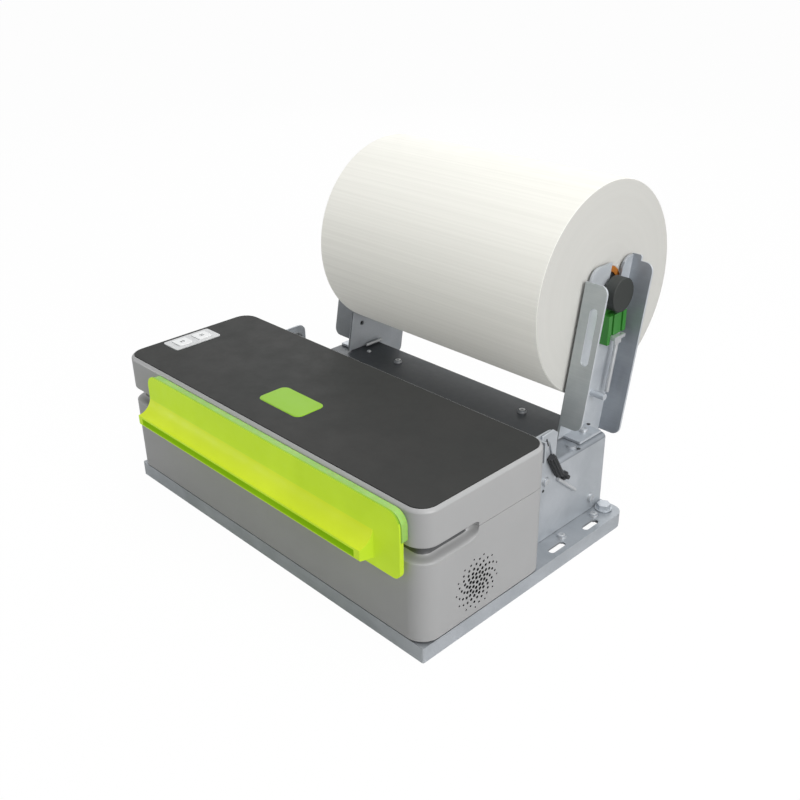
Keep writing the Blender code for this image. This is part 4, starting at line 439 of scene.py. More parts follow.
def refined(node, material, bevel, painted_tones, place, fold):
    """A CAD node's own solid with its sharp edges rounded, standing for the node.

    Painted tones are (material, test) pairs, lighter or darker copies of the zinc that paint light
    and shade: a face takes the material where the test on its centre and normal holds. A fold
    (test, radius) rounds the edges whose ends both pass the test, as a bent sheet is rounded.
    """
    angle = 34.0
    back = SHIFT.inverted()
    shape = bmesh.new()
    shape.from_mesh(nodes[node].data)
    cleaned(shape, 0.6)
    if fold:
        at_bend, radius = fold
        bends = [e for e in shape.edges if all(at_bend(back @ v.co) for v in e.verts)]
        bends = [e for e in bends if e.calc_face_angle(0) > 0.5]
        bmesh.ops.bevel(shape, geom=bends, offset=radius, segments=5, profile=0.5, affect="EDGES")
    edges_rounded(shape, bevel, 2, angle)
    for number, (_, test) in enumerate(painted_tones, 1):
        for face in shape.faces:
            if test(back @ face.calc_center_median(), face.normal):
                face.material_index = number
    obj = piece(
        f"{node}_piece", shape, node_body[node], material, *[tone for tone, _ in painted_tones], slot=node_slot[node],
        angle=angle, place=Matrix.Translation(place),
    )
    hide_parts(node)


def aimed(place, way):
    """The matrix that moves a form to place and turns its Z axis to way."""
    return Matrix.Translation(place) @ Vector(way).to_track_quat("Z", "Y").to_matrix().to_4x4()


def box_into(shape, low, high):
    low, high = Vector(low), Vector(high)
    matrix = Matrix.Translation((low + high) / 2) @ Matrix.Diagonal((*(high - low), 1.0))
    bmesh.ops.create_cube(shape, size=1.0, matrix=matrix)


def box_form(low, high):
    shape = bmesh.new()
    box_into(shape, low, high)
    return shape


def rod_into(shape, start, end, radius, sides=24):
    start, end = Vector(start), Vector(end)
    bmesh.ops.create_cone(
        shape, cap_ends=True, segments=sides, radius1=radius, radius2=radius, depth=(end - start).length,
        matrix=aimed((start + end) / 2, end - start),
    )


def turned_into(shape, profile, place, way, sides, reach=lambda angle: 1.0):
    """A turned form: (radius, height) pairs along way from place. It closes where a radius is 0.

    The reach is a factor of the radius at an angle round the axis, for a fluted form.
    """
    turn = aimed(place, way)
    rows = []
    for radius, height in profile:
        row = []
        for step in range(sides if radius > 0 else 1):
            angle = math.tau * step / sides
            out = radius * reach(angle)
            row.append(shape.verts.new(turn @ Vector((out * math.cos(angle), out * math.sin(angle), height))))
        rows.append(row)
    for low, high in zip(rows, rows[1:]):
        for step in range(sides):
            nxt = (step + 1) % sides
            low_pair = low[step % len(low)], low[nxt % len(low)]
            high_pair = high[nxt % len(high)], high[step % len(high)]
            shape.faces.new(list(dict.fromkeys(low_pair + high_pair)))
    return rows


def pan_screw_into(shape, place, way, radius, height):
    """A pan head with a cross recess, standing on place and pointing along way."""
    dome = ((1.0, 0.0), (1.0, 0.35), (0.93, 0.68), (0.74, 0.90), (0.46, 1.0))
    rim = turned_into(shape, [(radius * share, height * rise) for share, rise in dome], place, way, 32)[-1]
    turn = aimed(place, way)
    reach, arm, deep = radius * 0.40, radius * 0.10, height * 0.35
    cross = []
    for quarter in range(4):
        corner = Matrix.Rotation(math.pi / 2 * quarter, 2)
        cross += [corner @ Vector(spot) for spot in ((reach, arm), (arm, arm), (arm, reach))]
    top = [shape.verts.new(turn @ Vector((x, y, height))) for x, y in cross]
    floor = [shape.verts.new(turn @ Vector((x * 0.8, y * 0.8, deep))) for x, y in cross]
    nearest = [round(math.atan2(y, x) % math.tau / math.tau * len(rim)) % len(rim) for x, y in cross]
    for i in range(len(cross)):
        j = (i + 1) % len(cross)
        step = nearest[i]
        fan = [top[i], rim[step]]
        while step != nearest[j]:
            step = (step + 1) % len(rim)
            fan.append(rim[step])
        shape.faces.new(fan + [top[j]])
        shape.faces.new((top[j], top[i], floor[i], floor[j]))
    shape.faces.new(floor)
    bmesh.ops.recalc_face_normals(shape, faces=shape.faces)


def solid_from(shape, cutters, joins=()):
    """Joins and then cuts closed forms exactly, and gives the result as a bmesh."""
    target = linked("form", mesh_of("form", shape))
    used = [target]
    for form, operation in [(form, "UNION") for form in joins] + [(form, "DIFFERENCE") for form in cutters]:
        used.append(linked("form", mesh_of("form", form)))
        modifier = target.modifiers.new("cut", "BOOLEAN")
        modifier.solver = "EXACT"
        modifier.operation = operation
        modifier.object = used[-1]
    whole = target.evaluated_get(bpy.context.evaluated_depsgraph_get())
    result = bmesh.new()
    result.from_mesh(bpy.data.meshes.new_from_object(whole))
    for obj in used:
        bpy.data.objects.remove(obj, do_unlink=True)
    return result


# Body shells: rings round one rounded outline, so that the finger groove can fade out along the sides
def outline_points():
    """(skeleton point, outward normal) round the body, closely spaced where the groove ends."""
    points = []
    side, front, rear = BODY_SIDE - BODY_CORNER, BODY_FRONT + BODY_CORNER, BODY_REAR - BODY_CORNER
    corner_steps = 12
    ys = [front + 0.006, front + 0.014, 0.030, 0.034]
    ys += [0.036 + 0.001 * i for i in range(5)] + [0.041 + 0.0005 * i for i in range(14)]
    ys += [0.050, 0.056, 0.066, 0.080, 0.094]

    def corner(cx, cy, start):
        for step in range(corner_steps + 1):
            angle = start + math.pi / 2 * step / corner_steps
            points.append((Vector((cx, cy)), Vector((math.cos(angle), math.sin(angle)))))

    corner(side, front, -math.pi / 2)
    points.extend((Vector((side, y)), Vector((1, 0))) for y in ys)
    corner(side, rear, 0.0)
    for step in range(1, 8):
        points.append((Vector((side - 2 * side * step / 8, rear)), Vector((0, 1))))
    corner(-side, rear, math.pi / 2)
    points.extend((Vector((-side, y)), Vector((-1, 0))) for y in reversed(ys))
    corner(-side, front, math.pi)
    for step in range(1, 12):
        points.append((Vector((-side + 2 * side * step / 12, front)), Vector((0, -1))))
    return points


OUTLINE = outline_points()


def groove_share(y):
    """Share of the groove's full depth at a place along the side."""
    start = 0.0405
    if y <= start:
        return 1.0
    return math.sqrt(max(0.0, 1.0 - ((y - start) / (GROOVE_END - start)) ** 2))


def low_edge(y):
    """Height of the groove's lower edge, which climbs to the parting line at its end."""
    radius = 0.0088
    start = GROOVE_END - radius
    if y <= start:
        return GROOVE_BOTTOM
    if y >= GROOVE_END:
        return HOUSING_TOP
    rise = radius - math.sqrt(radius * radius - (y - start) ** 2)
    return GROOVE_BOTTOM + rise * (HOUSING_TOP - GROOVE_BOTTOM) / radius


def shell(rows):
    """Closed rings through rows, each a function of the outer Y giving (inset, z), capped at both ends."""
    shape = bmesh.new()
    rings = []
    for row in rows:
        ring = []
        for skeleton, normal in OUTLINE:
            outer = skeleton + normal * BODY_CORNER
            inset, z = row(outer.y)
            place = skeleton + normal * (BODY_CORNER - inset)
            ring.append(shape.verts.new((place.x, place.y, z)))
        rings.append(ring)
    count = len(OUTLINE)
    for low, high in zip(rings, rings[1:]):
        for i in range(count):
            j = (i + 1) % count
            shape.faces.new((low[i], low[j], high[j], high[i]))
    shape.faces.new(list(reversed(rings[0])))
    shape.faces.new(rings[-1])
    bmesh.ops.recalc_face_normals(shape, faces=shape.faces)
    return shape


def fixed(inset, z):
    return lambda y: (inset, z)


def housing_row(share, lift):
    """A row in the groove's scoop: a share of its depth, and of the height from its edge to the top."""
    def row(y):
        low = low_edge(y)
        room = max(HOUSING_TOP - low, 0.00012)
        return GROOVE_DEPTH * share * groove_share(y), HOUSING_TOP - room * (1.0 - lift)
    return row


def lid_row(share, z, rise=0.0013):
    """A row of the lid's lower edge, which stands higher over the groove."""
    return lambda y: (GROOVE_DEPTH * share * groove_share(y), z + rise * groove_share(y))


def grille_holes():
    """A swirl of round holes, small at the rim and large in the middle."""
    holes = bmesh.new()
    arms, rings = 13, 7
    spots = [(0.0, 0.0, 0.0013)]
    for ring in range(rings):
        part = ring / (rings - 1)
        radius = 0.0037 + 0.0146 * part ** 0.9
        size = 0.00122 - 0.00058 * part ** 1.6
        count = arms if ring else 7
        for arm in range(count):
            angle = math.tau * arm / count + 1.75 * part
            spots.append((radius * math.cos(angle), radius * math.sin(angle), size))
    for y, z, size in spots:
        y, z = GRILLE_Y + y, GRILLE_Z + z
        rod_into(holes, (BODY_SIDE - BODY_WALL - 0.002, y, z), (BODY_SIDE + 0.002, y, z), size, 10)
    return holes


def inset_of(place):
    """How far a place lies inside the body's rounded outline."""
    dx = max(abs(place.x) - BODY_SIDE + BODY_CORNER, 0.0)
    dy = max(BODY_FRONT + BODY_CORNER - place.y, place.y - BODY_REAR + BODY_CORNER, 0.0)
    return BODY_CORNER - math.hypot(dx, dy)


def make_housing():
    scoop = [
        (0.0, 0.0), (0.03, 0.035), (0.10, 0.085), (0.20, 0.125), (0.33, 0.165), (0.50, 0.205),
        (0.66, 0.25), (0.80, 0.32), (0.91, 0.42), (0.98, 0.56), (1.0, 0.72), (1.0, 1.0),
    ]
    plinth, plinth_top = 0.0016, FLOOR_Z + 0.0013
    rows = [fixed(plinth, FLOOR_Z), fixed(plinth, plinth_top), fixed(0.0003, plinth_top + 0.0001)]
    rows += [fixed(0.0, z) for z in (plinth_top + 0.0005, 0.020, 0.036, 0.052, 0.062)]
    rows += [housing_row(share, lift) for share, lift in scoop]
    rows += [fixed(RIM, HOUSING_TOP), fixed(RIM, GROOVE_BOTTOM - BODY_WALL)]
    rows += [fixed(BODY_WALL, GROOVE_BOTTOM - BODY_WALL), fixed(BODY_WALL, FLOOR_Z + BODY_WALL)]
    way = box_form((PATH_LEFT, BODY_FRONT - 0.004, PATH_LOW), (PATH_RIGHT, BODY_REAR + 0.004, 0.090))
    cable = box_form(
        (PAPER_X - 0.020, BODY_REAR - 0.0062, 0.022), (PAPER_X + 0.020, BODY_REAR + 0.004, 0.036)
    )
    shape = solid_from(shell(rows), [way, cable, grille_holes()])
    for face in shape.faces:
        centre = face.calc_center_median()
        in_hole = math.hypot(centre.y - GRILLE_Y, centre.z - GRILLE_Z) < 0.021 and abs(face.normal.x) < 0.5
        # Painted shade: the plinth's recess over the tray and the walls of the grille holes are black.
        if centre.z < plinth_top + 0.00005 or (in_hole and centre.x > BODY_SIDE - BODY_WALL - GAP):
            face.material_index = 1
        # Painted shade: the deepest part of the finger groove takes the dark grey, more of it along the front
        # under the mouth.
        elif GROOVE_BOTTOM < centre.z < HOUSING_TOP - GAP and inset_of(centre) < RIM - GAP:
            painted_shade_from = 0.6 if centre.y < BODY_FRONT + 0.003 else 0.93
            face.material_index = 2 if inset_of(centre) > painted_shade_from * GROOVE_DEPTH else 0
    obj = piece("housing_shell", shape, "base", HOUSING, BLACK, HOUSING_SHADE_PAINTED, slot="grey_plastic", angle=38.0)
    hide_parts("lower_housing")


def make_lid():
    under = [(1.0, 0.0775), (0.98, 0.07776), (0.14, 0.0778), (0.07, 0.0779), (0.025, 0.0782), (0.006, 0.0785),
             (0.0, 0.0789)]
    rows = [lid_row(1.0, LID_LOW, 0.0)] + [lid_row(share, z) for share, z in under]
    rows += [fixed(0.0, z) for z in (0.090, 0.098, LID_TOP - 0.0025)]
    edge = [(0.00015, 0.0019), (0.00050, 0.0013), (0.0010, 0.0008), (0.0016, 0.00025), (0.0019, 0.00005),
            (0.0021, 0.0), (0.0022, 0.0001), (0.0022, 0.0009)]
    rows += [fixed(inset, LID_TOP - drop) for inset, drop in edge]
    outer = shell(rows)
    low_rows = [fixed(RIM, LID_LOW - 0.001), fixed(RIM, GROOVE_TOP + BODY_WALL)]
    low_rows += [fixed(BODY_WALL, GROOVE_TOP + BODY_WALL), fixed(BODY_WALL, LID_ROOF)]
    room = shell(low_rows)
    holes = bmesh.new()
    half = 0.0062
    for y in KEY_Y.values():
        box_into(holes, (KEY_X - half, y - half, 0.095), (KEY_X + half, y + half, 0.110))
    shape = solid_from(outer, [room, holes])
    for y in (0.0299, 0.0668):
        rod_into(shape, (KEY_X, y, 0.0972), (KEY_X, y, LID_ROOF + 0.0005), 0.0015)
    for face in shape.faces:
        centre = face.calc_center_median()
        # Painted shade: the lid's underside over the finger groove takes the dark grey.
        if centre.z < 0.0794 and RIM - GAP > inset_of(centre) > 0.5 * GROOVE_DEPTH:
            face.material_index = 1
    obj = piece("lid_body", shape, "lid", HOUSING, HOUSING_SHADE_PAINTED, slot="grey_plastic", angle=38.0)
    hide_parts("lid_shell")


make_housing()
make_lid()


# Paper mouth and its light guide
def drawn_out(points, low, high, place):
    """A closed outline drawn out between two heights, where place(u, v, height) is a point."""
    shape = bmesh.new()
    near = [shape.verts.new(place(u, v, low)) for u, v in points]
    far = [shape.verts.new(place(u, v, high)) for u, v in points]
    shape.faces.new(near)
    shape.faces.new(list(reversed(far)))
    for i in range(len(points)):
        j = (i + 1) % len(points)
        shape.faces.new((near[j], near[i], far[i], far[j]))
    bmesh.ops.recalc_face_normals(shape, faces=shape.faces)
    return shape


def front_form(points, front, back):
    """A closed outline in (X, Z) between two values of Y."""
    return drawn_out(points, front, back, lambda x, z, y: (x, y, z))


def side_form(points, low, high):
    """A closed outline in (Y, Z) between two values of X."""
    return drawn_out(points, low, high, lambda y, z, x: (x, y, z))


def round_corners(points):
    """An outline whose (u, v, radius) corners become arcs."""
    result, steps = [], 8
    count = len(points)
    for i, (u, v, radius) in enumerate(points):
        here = Vector((u, v))
        if radius <= 0:
            result.append((u, v))
            continue
        before = (Vector(points[i - 1][:2]) - here).normalized()
        after = (Vector(points[(i + 1) % count][:2]) - here).normalized()
        half = before.angle(after) / 2
        reach = radius / math.tan(half)
        centre = here + (before + after).normalized() * radius / math.sin(half)
        first, last = here + before * reach - centre, here + after * reach - centre
        sweep = first.angle_signed(last)
        for step in range(steps + 1):
            arm = first.copy()
            arm.rotate(Matrix.Rotation(-sweep * step / steps, 2))
            result.append(tuple(centre + arm))
    return result


def rectangle(low, high, radii):
    """A rectangle's outline from its corner low, with the radii of its four corners."""
    corners = (low, (high[0], low[1]), high, (low[0], high[1]))
    return round_corners([(u, v, radius) for (u, v), radius in zip(corners, radii)])


def make_mouth():
    left, right, top, bottom, back, front = -0.1138, 0.1442, 0.103, 0.0586, -0.0046, -0.0077
    plate = front_form(rectangle((left, bottom), (right, top), (0.0028, 0.0055, 0.010, 0.009)), front, back)
    rebate = box_form((left - 0.002, -0.0066, 0.0835), (right + 0.002, back + 0.002, top + 0.002))
    nose_y, sweep_z, nose_z, chin_z, root_z = -0.0187, 0.086, 0.0744, 0.0667, 0.0640
    profile = [(-0.0058, root_z)]
    profile += [(nose_y + 0.0012, chin_z), (nose_y + 0.0004, chin_z + 0.0003), (nose_y, chin_z + 0.0012)]
    for step in range(25):
        angle = math.pi / 2 * step / 24
        y = nose_y + (front - nose_y) * math.sin(angle)
        profile.append((y, sweep_z - (sweep_z - nose_z) * math.cos(angle)))
    profile.append((-0.0058, sweep_z))
    lip_right, slot_wall, slot_low, slot_high = 0.1227, 0.0048, 0.0680, 0.0728
    lip = side_form(profile, left + GAP, lip_right)
    slot_left, slot_right = left + slot_wall, lip_right - slot_wall
    slot = box_form((slot_left, nose_y - 0.004, slot_low), (slot_right, back + 0.004, slot_high))
    shape = bevelled(solid_from(plate, [slot, rebate], [lip]), 0.0005)
    for face in shape.faces:
        centre = face.calc_center_median()
        in_slot = slot_low - 0.0001 < centre.z < slot_high + 0.0001 and nose_y + 0.0003 < centre.y
        in_slot = in_slot and slot_left - 0.0001 < centre.x < slot_right + 0.0002
        on_top_edge = centre.z > sweep_z and (face.normal.z > 0.4 or face.normal.y > 0.5)
        # Painted shade in the slot and on the top edge; painted light on the sweep's upward faces.
        if in_slot or on_top_edge:
            face.material_index = 2
        elif centre.y < front - 0.0002 and face.normal.z > 0.1:
            face.material_index = 1
    obj = piece("mouth_bezel", shape, "lid", LIME, LIME_LIGHT_PAINTED, LIME_SHADE_PAINTED, slot="lime_translucent", angle=40.0)
    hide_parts("paper_mouth")
    outline = rectangle((left + 0.0006, 0.0838), (right + 0.0006, top - 0.0006), (0.001, 0.001, 0.009, 0.009))
    guide = front_form(outline, -0.0063, -0.00145)
    obj = piece("mouth_guide", bevelled(guide, 0.0004), "lid", FROSTED, slot="pale_green", angle=40.0)
    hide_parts("mouth_light_guide")


make_mouth()


# Paper roll
def make_roll():
    half, outer, inner, edge = 0.105, 0.0748, 0.0173, 0.0007
    shape = bmesh.new()
    rim = [(outer - edge, half), (outer - edge * 0.3, half - edge * 0.3), (outer, half - edge)]
    profile = [(inner, half), *rim, *[(radius, -height) for radius, height in reversed(rim)]]
    profile += [(inner, -half), (inner, half)]
    turned_into(shape, profile, (PAPER_X, ROLL_Y, ROLL_Z), (1, 0, 0), 128)
    bmesh.ops.remove_doubles(shape, verts=shape.verts, dist=0.000001)
    bmesh.ops.recalc_face_normals(shape, faces=shape.faces)
    for face in shape.faces:
        face.material_index = 1 if abs(face.normal.x) > 0.9 else 0
    obj = piece("roll_of_paper", shape, "roll", PAPER, PAPER_END, slot="paper", angle=50.0)
    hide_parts("paper_roll")


make_roll()

# Nodes whose own solids show, with their edges rounded
BEVELS = {
    "base_tray": 0.0005, "chassis_cover": 0.0004, "chassis_rear": 0.0003, "hinge_bracket_left": 0.0003,
    "hinge_bracket_right": 0.0003, "roll_arm_left": 0.0004, "roll_arm_right": 0.0004, "lid_inlay": 0.00025,
    "lid_pad": 0.00025, "key_plate": 0.00025, "key_front": 0.0003, "key_rear": 0.0003, "key_board": 0.0002,
    "spindle_knob_left": 0.0005, "spindle_knob_right": 0.0005, "spindle_rest_left": 0.0004,
    "spindle_rest_right": 0.0004, "spindle": 0.0003,
    "paper_core": 0.0002, "core_sleeve": 0.0002, "hex_bolt_left": 0.0003, "hex_bolt_right": 0.0003,
    "hinge_arm_left": 0.0003, "hinge_arm_right": 0.0003, "hinge_pin_left": 0.0002, "hinge_pin_right": 0.0002,
    "frame_side_left": 0.0003, "frame_side_right": 0.0003, "frame_tie": 0.0003, "paper_guide": 0.0003,
    "head_bracket": 0.0003, "print_head": 0.0003, "head_pivot": 0.0002, "fixed_blade": 0.0001,
    "cutter_blade": 0.0001, "cutter_motor": 0.0006, "feed_motor": 0.0005, "motor_pinion": 0.00015,
    "platen_shaft": 0.0003, "platen_roller": 0.0003, "platen_gear": 0.00015, "idler_gear": 0.00015,
    "platen_bearing_left": 0.0002, "platen_bearing_right": 0.0002, "near_end_sensor": 0.0005,
    "main_board": 0.0002, "power_inlet": 0.0003, "data_socket": 0.0002, "fan_frame": 0.0004,
    "fan_rotor": 0.0001, "lever_pin": 0.0002, "lever_link": 0.0003,
}
OWN_MATERIALS = {
    "cutter_blade": BLADE, "fixed_blade": BLADE, "key_plate": KEY_PLATE, "lever_link": BRIGHT,
    "hinge_pin_left": BRIGHT, "hinge_pin_right": BRIGHT, "hex_bolt_left": ZINC, "hex_bolt_right": ZINC,
    # The tray's upward faces and the left hinge bracket take the darker zinc copy: painted shade.
    "base_tray": ZINC_SHADE_PAINTED, "lever_pin": BLACK, "hinge_bracket_left": ZINC_SHADE_PAINTED,
}


def across_lean(place):
    """How far back a place lies, measured square to the arms."""
    return place.y * math.cos(LEAN_ANGLE) - place.z * math.sin(LEAN_ANGLE)


# Tests that pick faces for painted light and shade by where they are and which way they face.
def on_chassis_top(centre, normal):
    return normal.z > 0.2 and centre.z > CHASSIS_TOP - 0.004


def on_tray_side(centre, normal):
    return normal.z < 0.3


def on_flange(centre, normal):
    return normal.y < -0.7 and centre.z > CHASSIS_TOP + 0.010


def on_front_flange(centre, normal):
    return across_lean(centre) < 0.1540 and on_flange(centre, normal)


def on_rear_flange(centre, normal):
    return across_lean(centre) > 0.1900 and on_flange(centre, normal)


def on_web(centre, normal):
    return normal.x > 0.7


def at_front_fold(place):
    """On the inner edge where an arm's web turns into its front flange."""
    near, reach = 0.0002, ARM_WEB - PAPER_X - ARM_SHEET
    back = across_lean(place) - across_lean(Vector((0.0, 0.1676, CHASSIS_TOP)))
    return abs(abs(place.x - PAPER_X) - reach) < near and abs(back) < near


# Painted light and shade: faces picked by these tests take lighter or darker copies of the zinc.
LIT_AND_SHADED_TONES = {
    "base_tray": ((ZINC, on_tray_side),),
    "chassis_cover": ((ZINC_ROLL_SHADOW_PAINTED, on_chassis_top),),
    "roll_arm_right": ((ZINC_LIGHT_AND_SHADE_PAINTED, on_front_flange), (ZINC_REAR_SHADE_PAINTED, on_rear_flange), (ZINC_LIGHT_PAINTED, on_web)),
    "roll_arm_left": ((ZINC_DEEP_SHADE_PAINTED, on_front_flange),),
}
SHIFTS = {"lever_link": (0.0, -0.0038, 0.0030)}
for node_name, bevel_size in BEVELS.items():
    refined(
        node_name, OWN_MATERIALS.get(node_name, SLOT_MATERIALS[node_slot[node_name]]), bevel_size,
        LIT_AND_SHADED_TONES.get(node_name, ()), SHIFTS.get(node_name, (0.0, 0.0, 0.0)),
        (at_front_fold, 0.0014) if node_name.startswith("roll_arm") else None,
    )


def mirrored(x):
    """The same place on the other side of the paper's middle."""
    return 2 * PAPER_X - x


# Screws, over the plain heads of the CAD
def screw_heads(name, places, radius=0.0033, height=0.0022):
    shape = bmesh.new()
    for place, way in places:
        pan_screw_into(shape, place, way, radius, height)
    piece(name, shape, "base", BRIGHT, slot="steel", angle=30.0)


def make_screws():
    up, right, left = (0, 0, 1), (1, 0, 0), (-1, 0, 0)
    ear = WALL_X + GAP + 0.0015
    screw_heads("arm_screws", [((0.1246, 0.1901, FOOT_TOP), up), ((-0.1038, 0.1901, FOOT_TOP), up)])
    screw_heads("chassis_top_screws", [
        ((-0.0536, 0.1834, CHASSIS_TOP), up), ((0.0740, 0.1852, CHASSIS_TOP), up),
    ])
    screw_heads("ear_screws", [((ear, 0.1312, 0.0605), right), ((mirrored(ear), 0.1312, 0.0605), left)])
    screw_heads("wall_screws", [
        ((WALL_X, 0.188, 0.0217), right), ((mirrored(WALL_X), 0.188, 0.0217), left),
    ])
    screw_heads("tray_screws", [
        ((side * 0.1427, y, 0.0111), up) for side in SIDES.values() for y in (0.1474, 0.1843)
    ])


make_screws()


# Hinge side: the ear's bent tab, the fluted grip of the release lever, and black discs painted as the shade
# of small holes
def make_ear_tab():
    outer = WALL_X + 0.0034
    tab = side_form([
        (0.1232, 0.0952), (0.1240, 0.0975), (0.1352, 0.0982), (0.1398, 0.0946), (0.1386, 0.0756),
        (0.1368, 0.0752), (0.1318, 0.0900),
    ], WALL_X + 0.0022, outer)
    piece("ear_tab", bevelled(tab, 0.0003), "base", ZINC, slot="zinc", angle=34.0)
    # Painted shade: a thin black sheet on the tab stands for its slot.
    corners = [(0.1272, 0.0940), (0.1284, 0.0943), (0.1307, 0.0885), (0.1296, 0.0881)]
    slot = side_form(corners, outer, outer + 0.0002)
    piece("ear_tab_slot_shade", slot, "base", BLACK, slot="black_plastic")


def make_lever_grip():
    start, end = Vector((WALL_X + 0.0038, 0.1334, 0.0789)), Vector((WALL_X + 0.0038, 0.1436, 0.0614))
    length, radius, depth, flutes = (end - start).length, 0.0033, 0.0007, 10

    def reach(angle):
        return radius - depth * (0.5 + 0.5 * math.cos(flutes * angle))

    grip = bmesh.new()
    profile = [(0.85, 0.0), (1.0, 0.0006), (1.0, length - 0.0006), (0.85, length)]
    rows = turned_into(grip, profile, start, end - start, 60, reach)
    grip.faces.new(rows[0])
    grip.faces.new(rows[-1])
    bmesh.ops.recalc_face_normals(grip, faces=grip.faces)
    rod_into(grip, (WALL_X + GAP, *LEVER_PIN), (WALL_X + 0.0022, *LEVER_PIN), 0.0032)
    rod_into(grip, (WALL_X + 0.0014, *LEVER_PIN), end - (end - start) * 0.08, 0.0012)
    obj = piece("lever_grip", grip, "release_lever", BLACK, slot="black_plastic", angle=40.0)
    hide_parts("release_lever")


def make_small_holes():
    # Painted shade: thin black discs stand for small holes.
    dots, proud = bmesh.new(), 0.00015
    for x, y, z, radius in ((0.1219, 0.2, FOOT_TOP, 0.0014), (0.1357, 0.17, CHASSIS_TOP, 0.0013)):
        rod_into(dots, (x, y, z), (x, y, z + proud), radius)
    x, y, z = WALL_X + 0.0018, 0.1295, 0.0538
    rod_into(dots, (x, y, z), (x + proud, y, z), 0.0011)
    piece("hole_shade_discs", dots, "base", BLACK, slot="black_plastic", angle=30.0)


def make_left_tail():
    """The left arm's web reaches further back at its foot than the right arm's."""
    web = mirrored(ARM_WEB)
    outline = round_corners([
        (0.2100, 0.0565, 0.0), (0.2280, 0.0475, 0.006), (0.2338, 0.0830, 0.004), (0.2140, 0.0870, 0.0),
    ])
    shape = side_form(outline, web + 0.0001, web + 0.0017)
    piece("left_arm_tail", bevelled(shape, 0.0004), "base", ZINC, slot="zinc", angle=34.0)


def make_left_pin():
    shape = bmesh.new()
    profile = [
        (0.0, 0.0), (0.0010, 0.0), (0.0013, 0.0004), (0.0013, 0.0150), (0.0017, 0.0154), (0.0017, 0.0168),
        (0.0012, 0.0172), (0.0, 0.0172),
    ]
    turned_into(shape, profile, (-0.0936, 0.1854, 0.0706), (0, 1, 0), 24)
    bmesh.ops.recalc_face_normals(shape, faces=shape.faces)
    piece("left_pin", shape, "base", BRIGHT, slot="steel", angle=40.0)
    screw_heads("small_top_screws", [((-0.0858, 0.1812, CHASSIS_TOP), (0, 0, 1))], 0.0018, 0.0012)


make_ear_tab()
make_lever_grip()
make_small_holes()
make_left_tail()
make_left_pin()


# Spindle rests: the folded clip with its hole, and the guide rod
def make_clip(side_name, side):
    def x(offset):
        return PAPER_X + side * (ARM_WEB - PAPER_X + offset)

    bend = x(0.0108)
    low, high = sorted((x(GAP), bend))
    top = front_form([(low, 0.1328), (high, 0.1328), (high, 0.1353), (low, 0.1353)], 0.2112, 0.2236)
    low, high = sorted((bend, bend - side * 0.0013))
    lip = front_form([(low, 0.1300), (high, 0.1300), (high, 0.1350), (low, 0.1350)], 0.2116, 0.2190)
    hole = bmesh.new()
    rod_into(hole, (x(0.0078), 0.2202, 0.130), (x(0.0078), 0.2202, 0.138), 0.0017, 24)
    shape = bevelled(solid_from(top, [hole], [lip]), 0.0003, 2)
    start = Vector((x(0.0060), 0.2222, 0.1346))
    rod_into(shape, start, start - LEAN * 0.0430, 0.0016, 24)
    obj = piece(f"clip_{side_name}", shape, "base", BRIGHT, slot="steel", angle=34.0)
    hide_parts(f"rest_clip_{side_name}")
    low, high = sorted((x(2 * GAP), x(0.0072)))
    foot = box_form((low, 0.2076, 0.1292), (high, 0.2109, 0.1362))
    piece(f"rest_foot_{side_name}", bevelled(foot, 0.0005), "base", BLOCK_GREEN, slot="block_green")


for side_name, side in SIDES.items():
    make_clip(side_name, side)


# Skirts and icons of the keys, and the pad's wider rim
def raised_into(shape, outline, low, high):
    """A flat form over an outline in (X, Y): its top and its edge, open below."""
    foot = [shape.verts.new((x, y, low)) for x, y in outline]
    top = [shape.verts.new((x, y, high)) for x, y in outline]
    shape.faces.new(top)
    for i in range(len(outline)):
        j = (i + 1) % len(outline)
        shape.faces.new((foot[i], foot[j], top[j], top[i]))


def make_prints():
    key_top = 0.1059
    print_top = key_top + 0.00004
    feed, pause, half = bmesh.new(), bmesh.new(), 0.0016
    for y in (KEY_Y["front"] - half, KEY_Y["front"] + 0.0004):
        arrow = [(KEY_X - 0.0018, y), (KEY_X + 0.0018, y), (KEY_X, y + 0.0016)]
        raised_into(feed, arrow, key_top, print_top)
    y = KEY_Y["rear"]
    for x in (KEY_X - 0.0014, KEY_X + 0.0006):
        box_into(pause, (x, y - half, key_top), (x + 0.0008, y + half, print_top))
    half = 0.00605
    for name, y in KEY_Y.items():
        skirt = box_form((KEY_X - half, y - half, 0.1030), (KEY_X + half, y + half, 0.1046))
        piece(f"key_skirt_{name}", skirt, f"key_{name}", KEY_WHITE, slot="white_plastic")
    piece("feed_icon", feed, "key_front", INK, slot="dark_inlay")
    piece("pause_icon", pause, "key_rear", INK, slot="dark_inlay")
    pad, x, y, half_x, half_y = bmesh.new(), -0.00225, 0.0349, 0.02165, 0.0121
    outline = rectangle((x - half_x, y - half_y), (x + half_x, y + half_y), [0.005] * 4)
    raised_into(pad, outline, 0.1042, 0.10486)
    bmesh.ops.recalc_face_normals(pad, faces=pad.faces)
    piece("pad_edge", pad, "lid", PAD, slot="green_pad")


make_prints()


# Floor, light and camera
def fresh_tree(holder):
    """The emptied shader nodes of a material or a world."""
    holder.use_nodes = True
    holder.node_tree.nodes.clear()
    return holder.node_tree


def source(tree, kind, **values):
    """The output of a new shader node with these inputs."""
    node = tree.nodes.new(f"ShaderNode{kind}")
    for name, value in values.items():
        node.inputs[name].default_value = value
    return node.outputs[0]


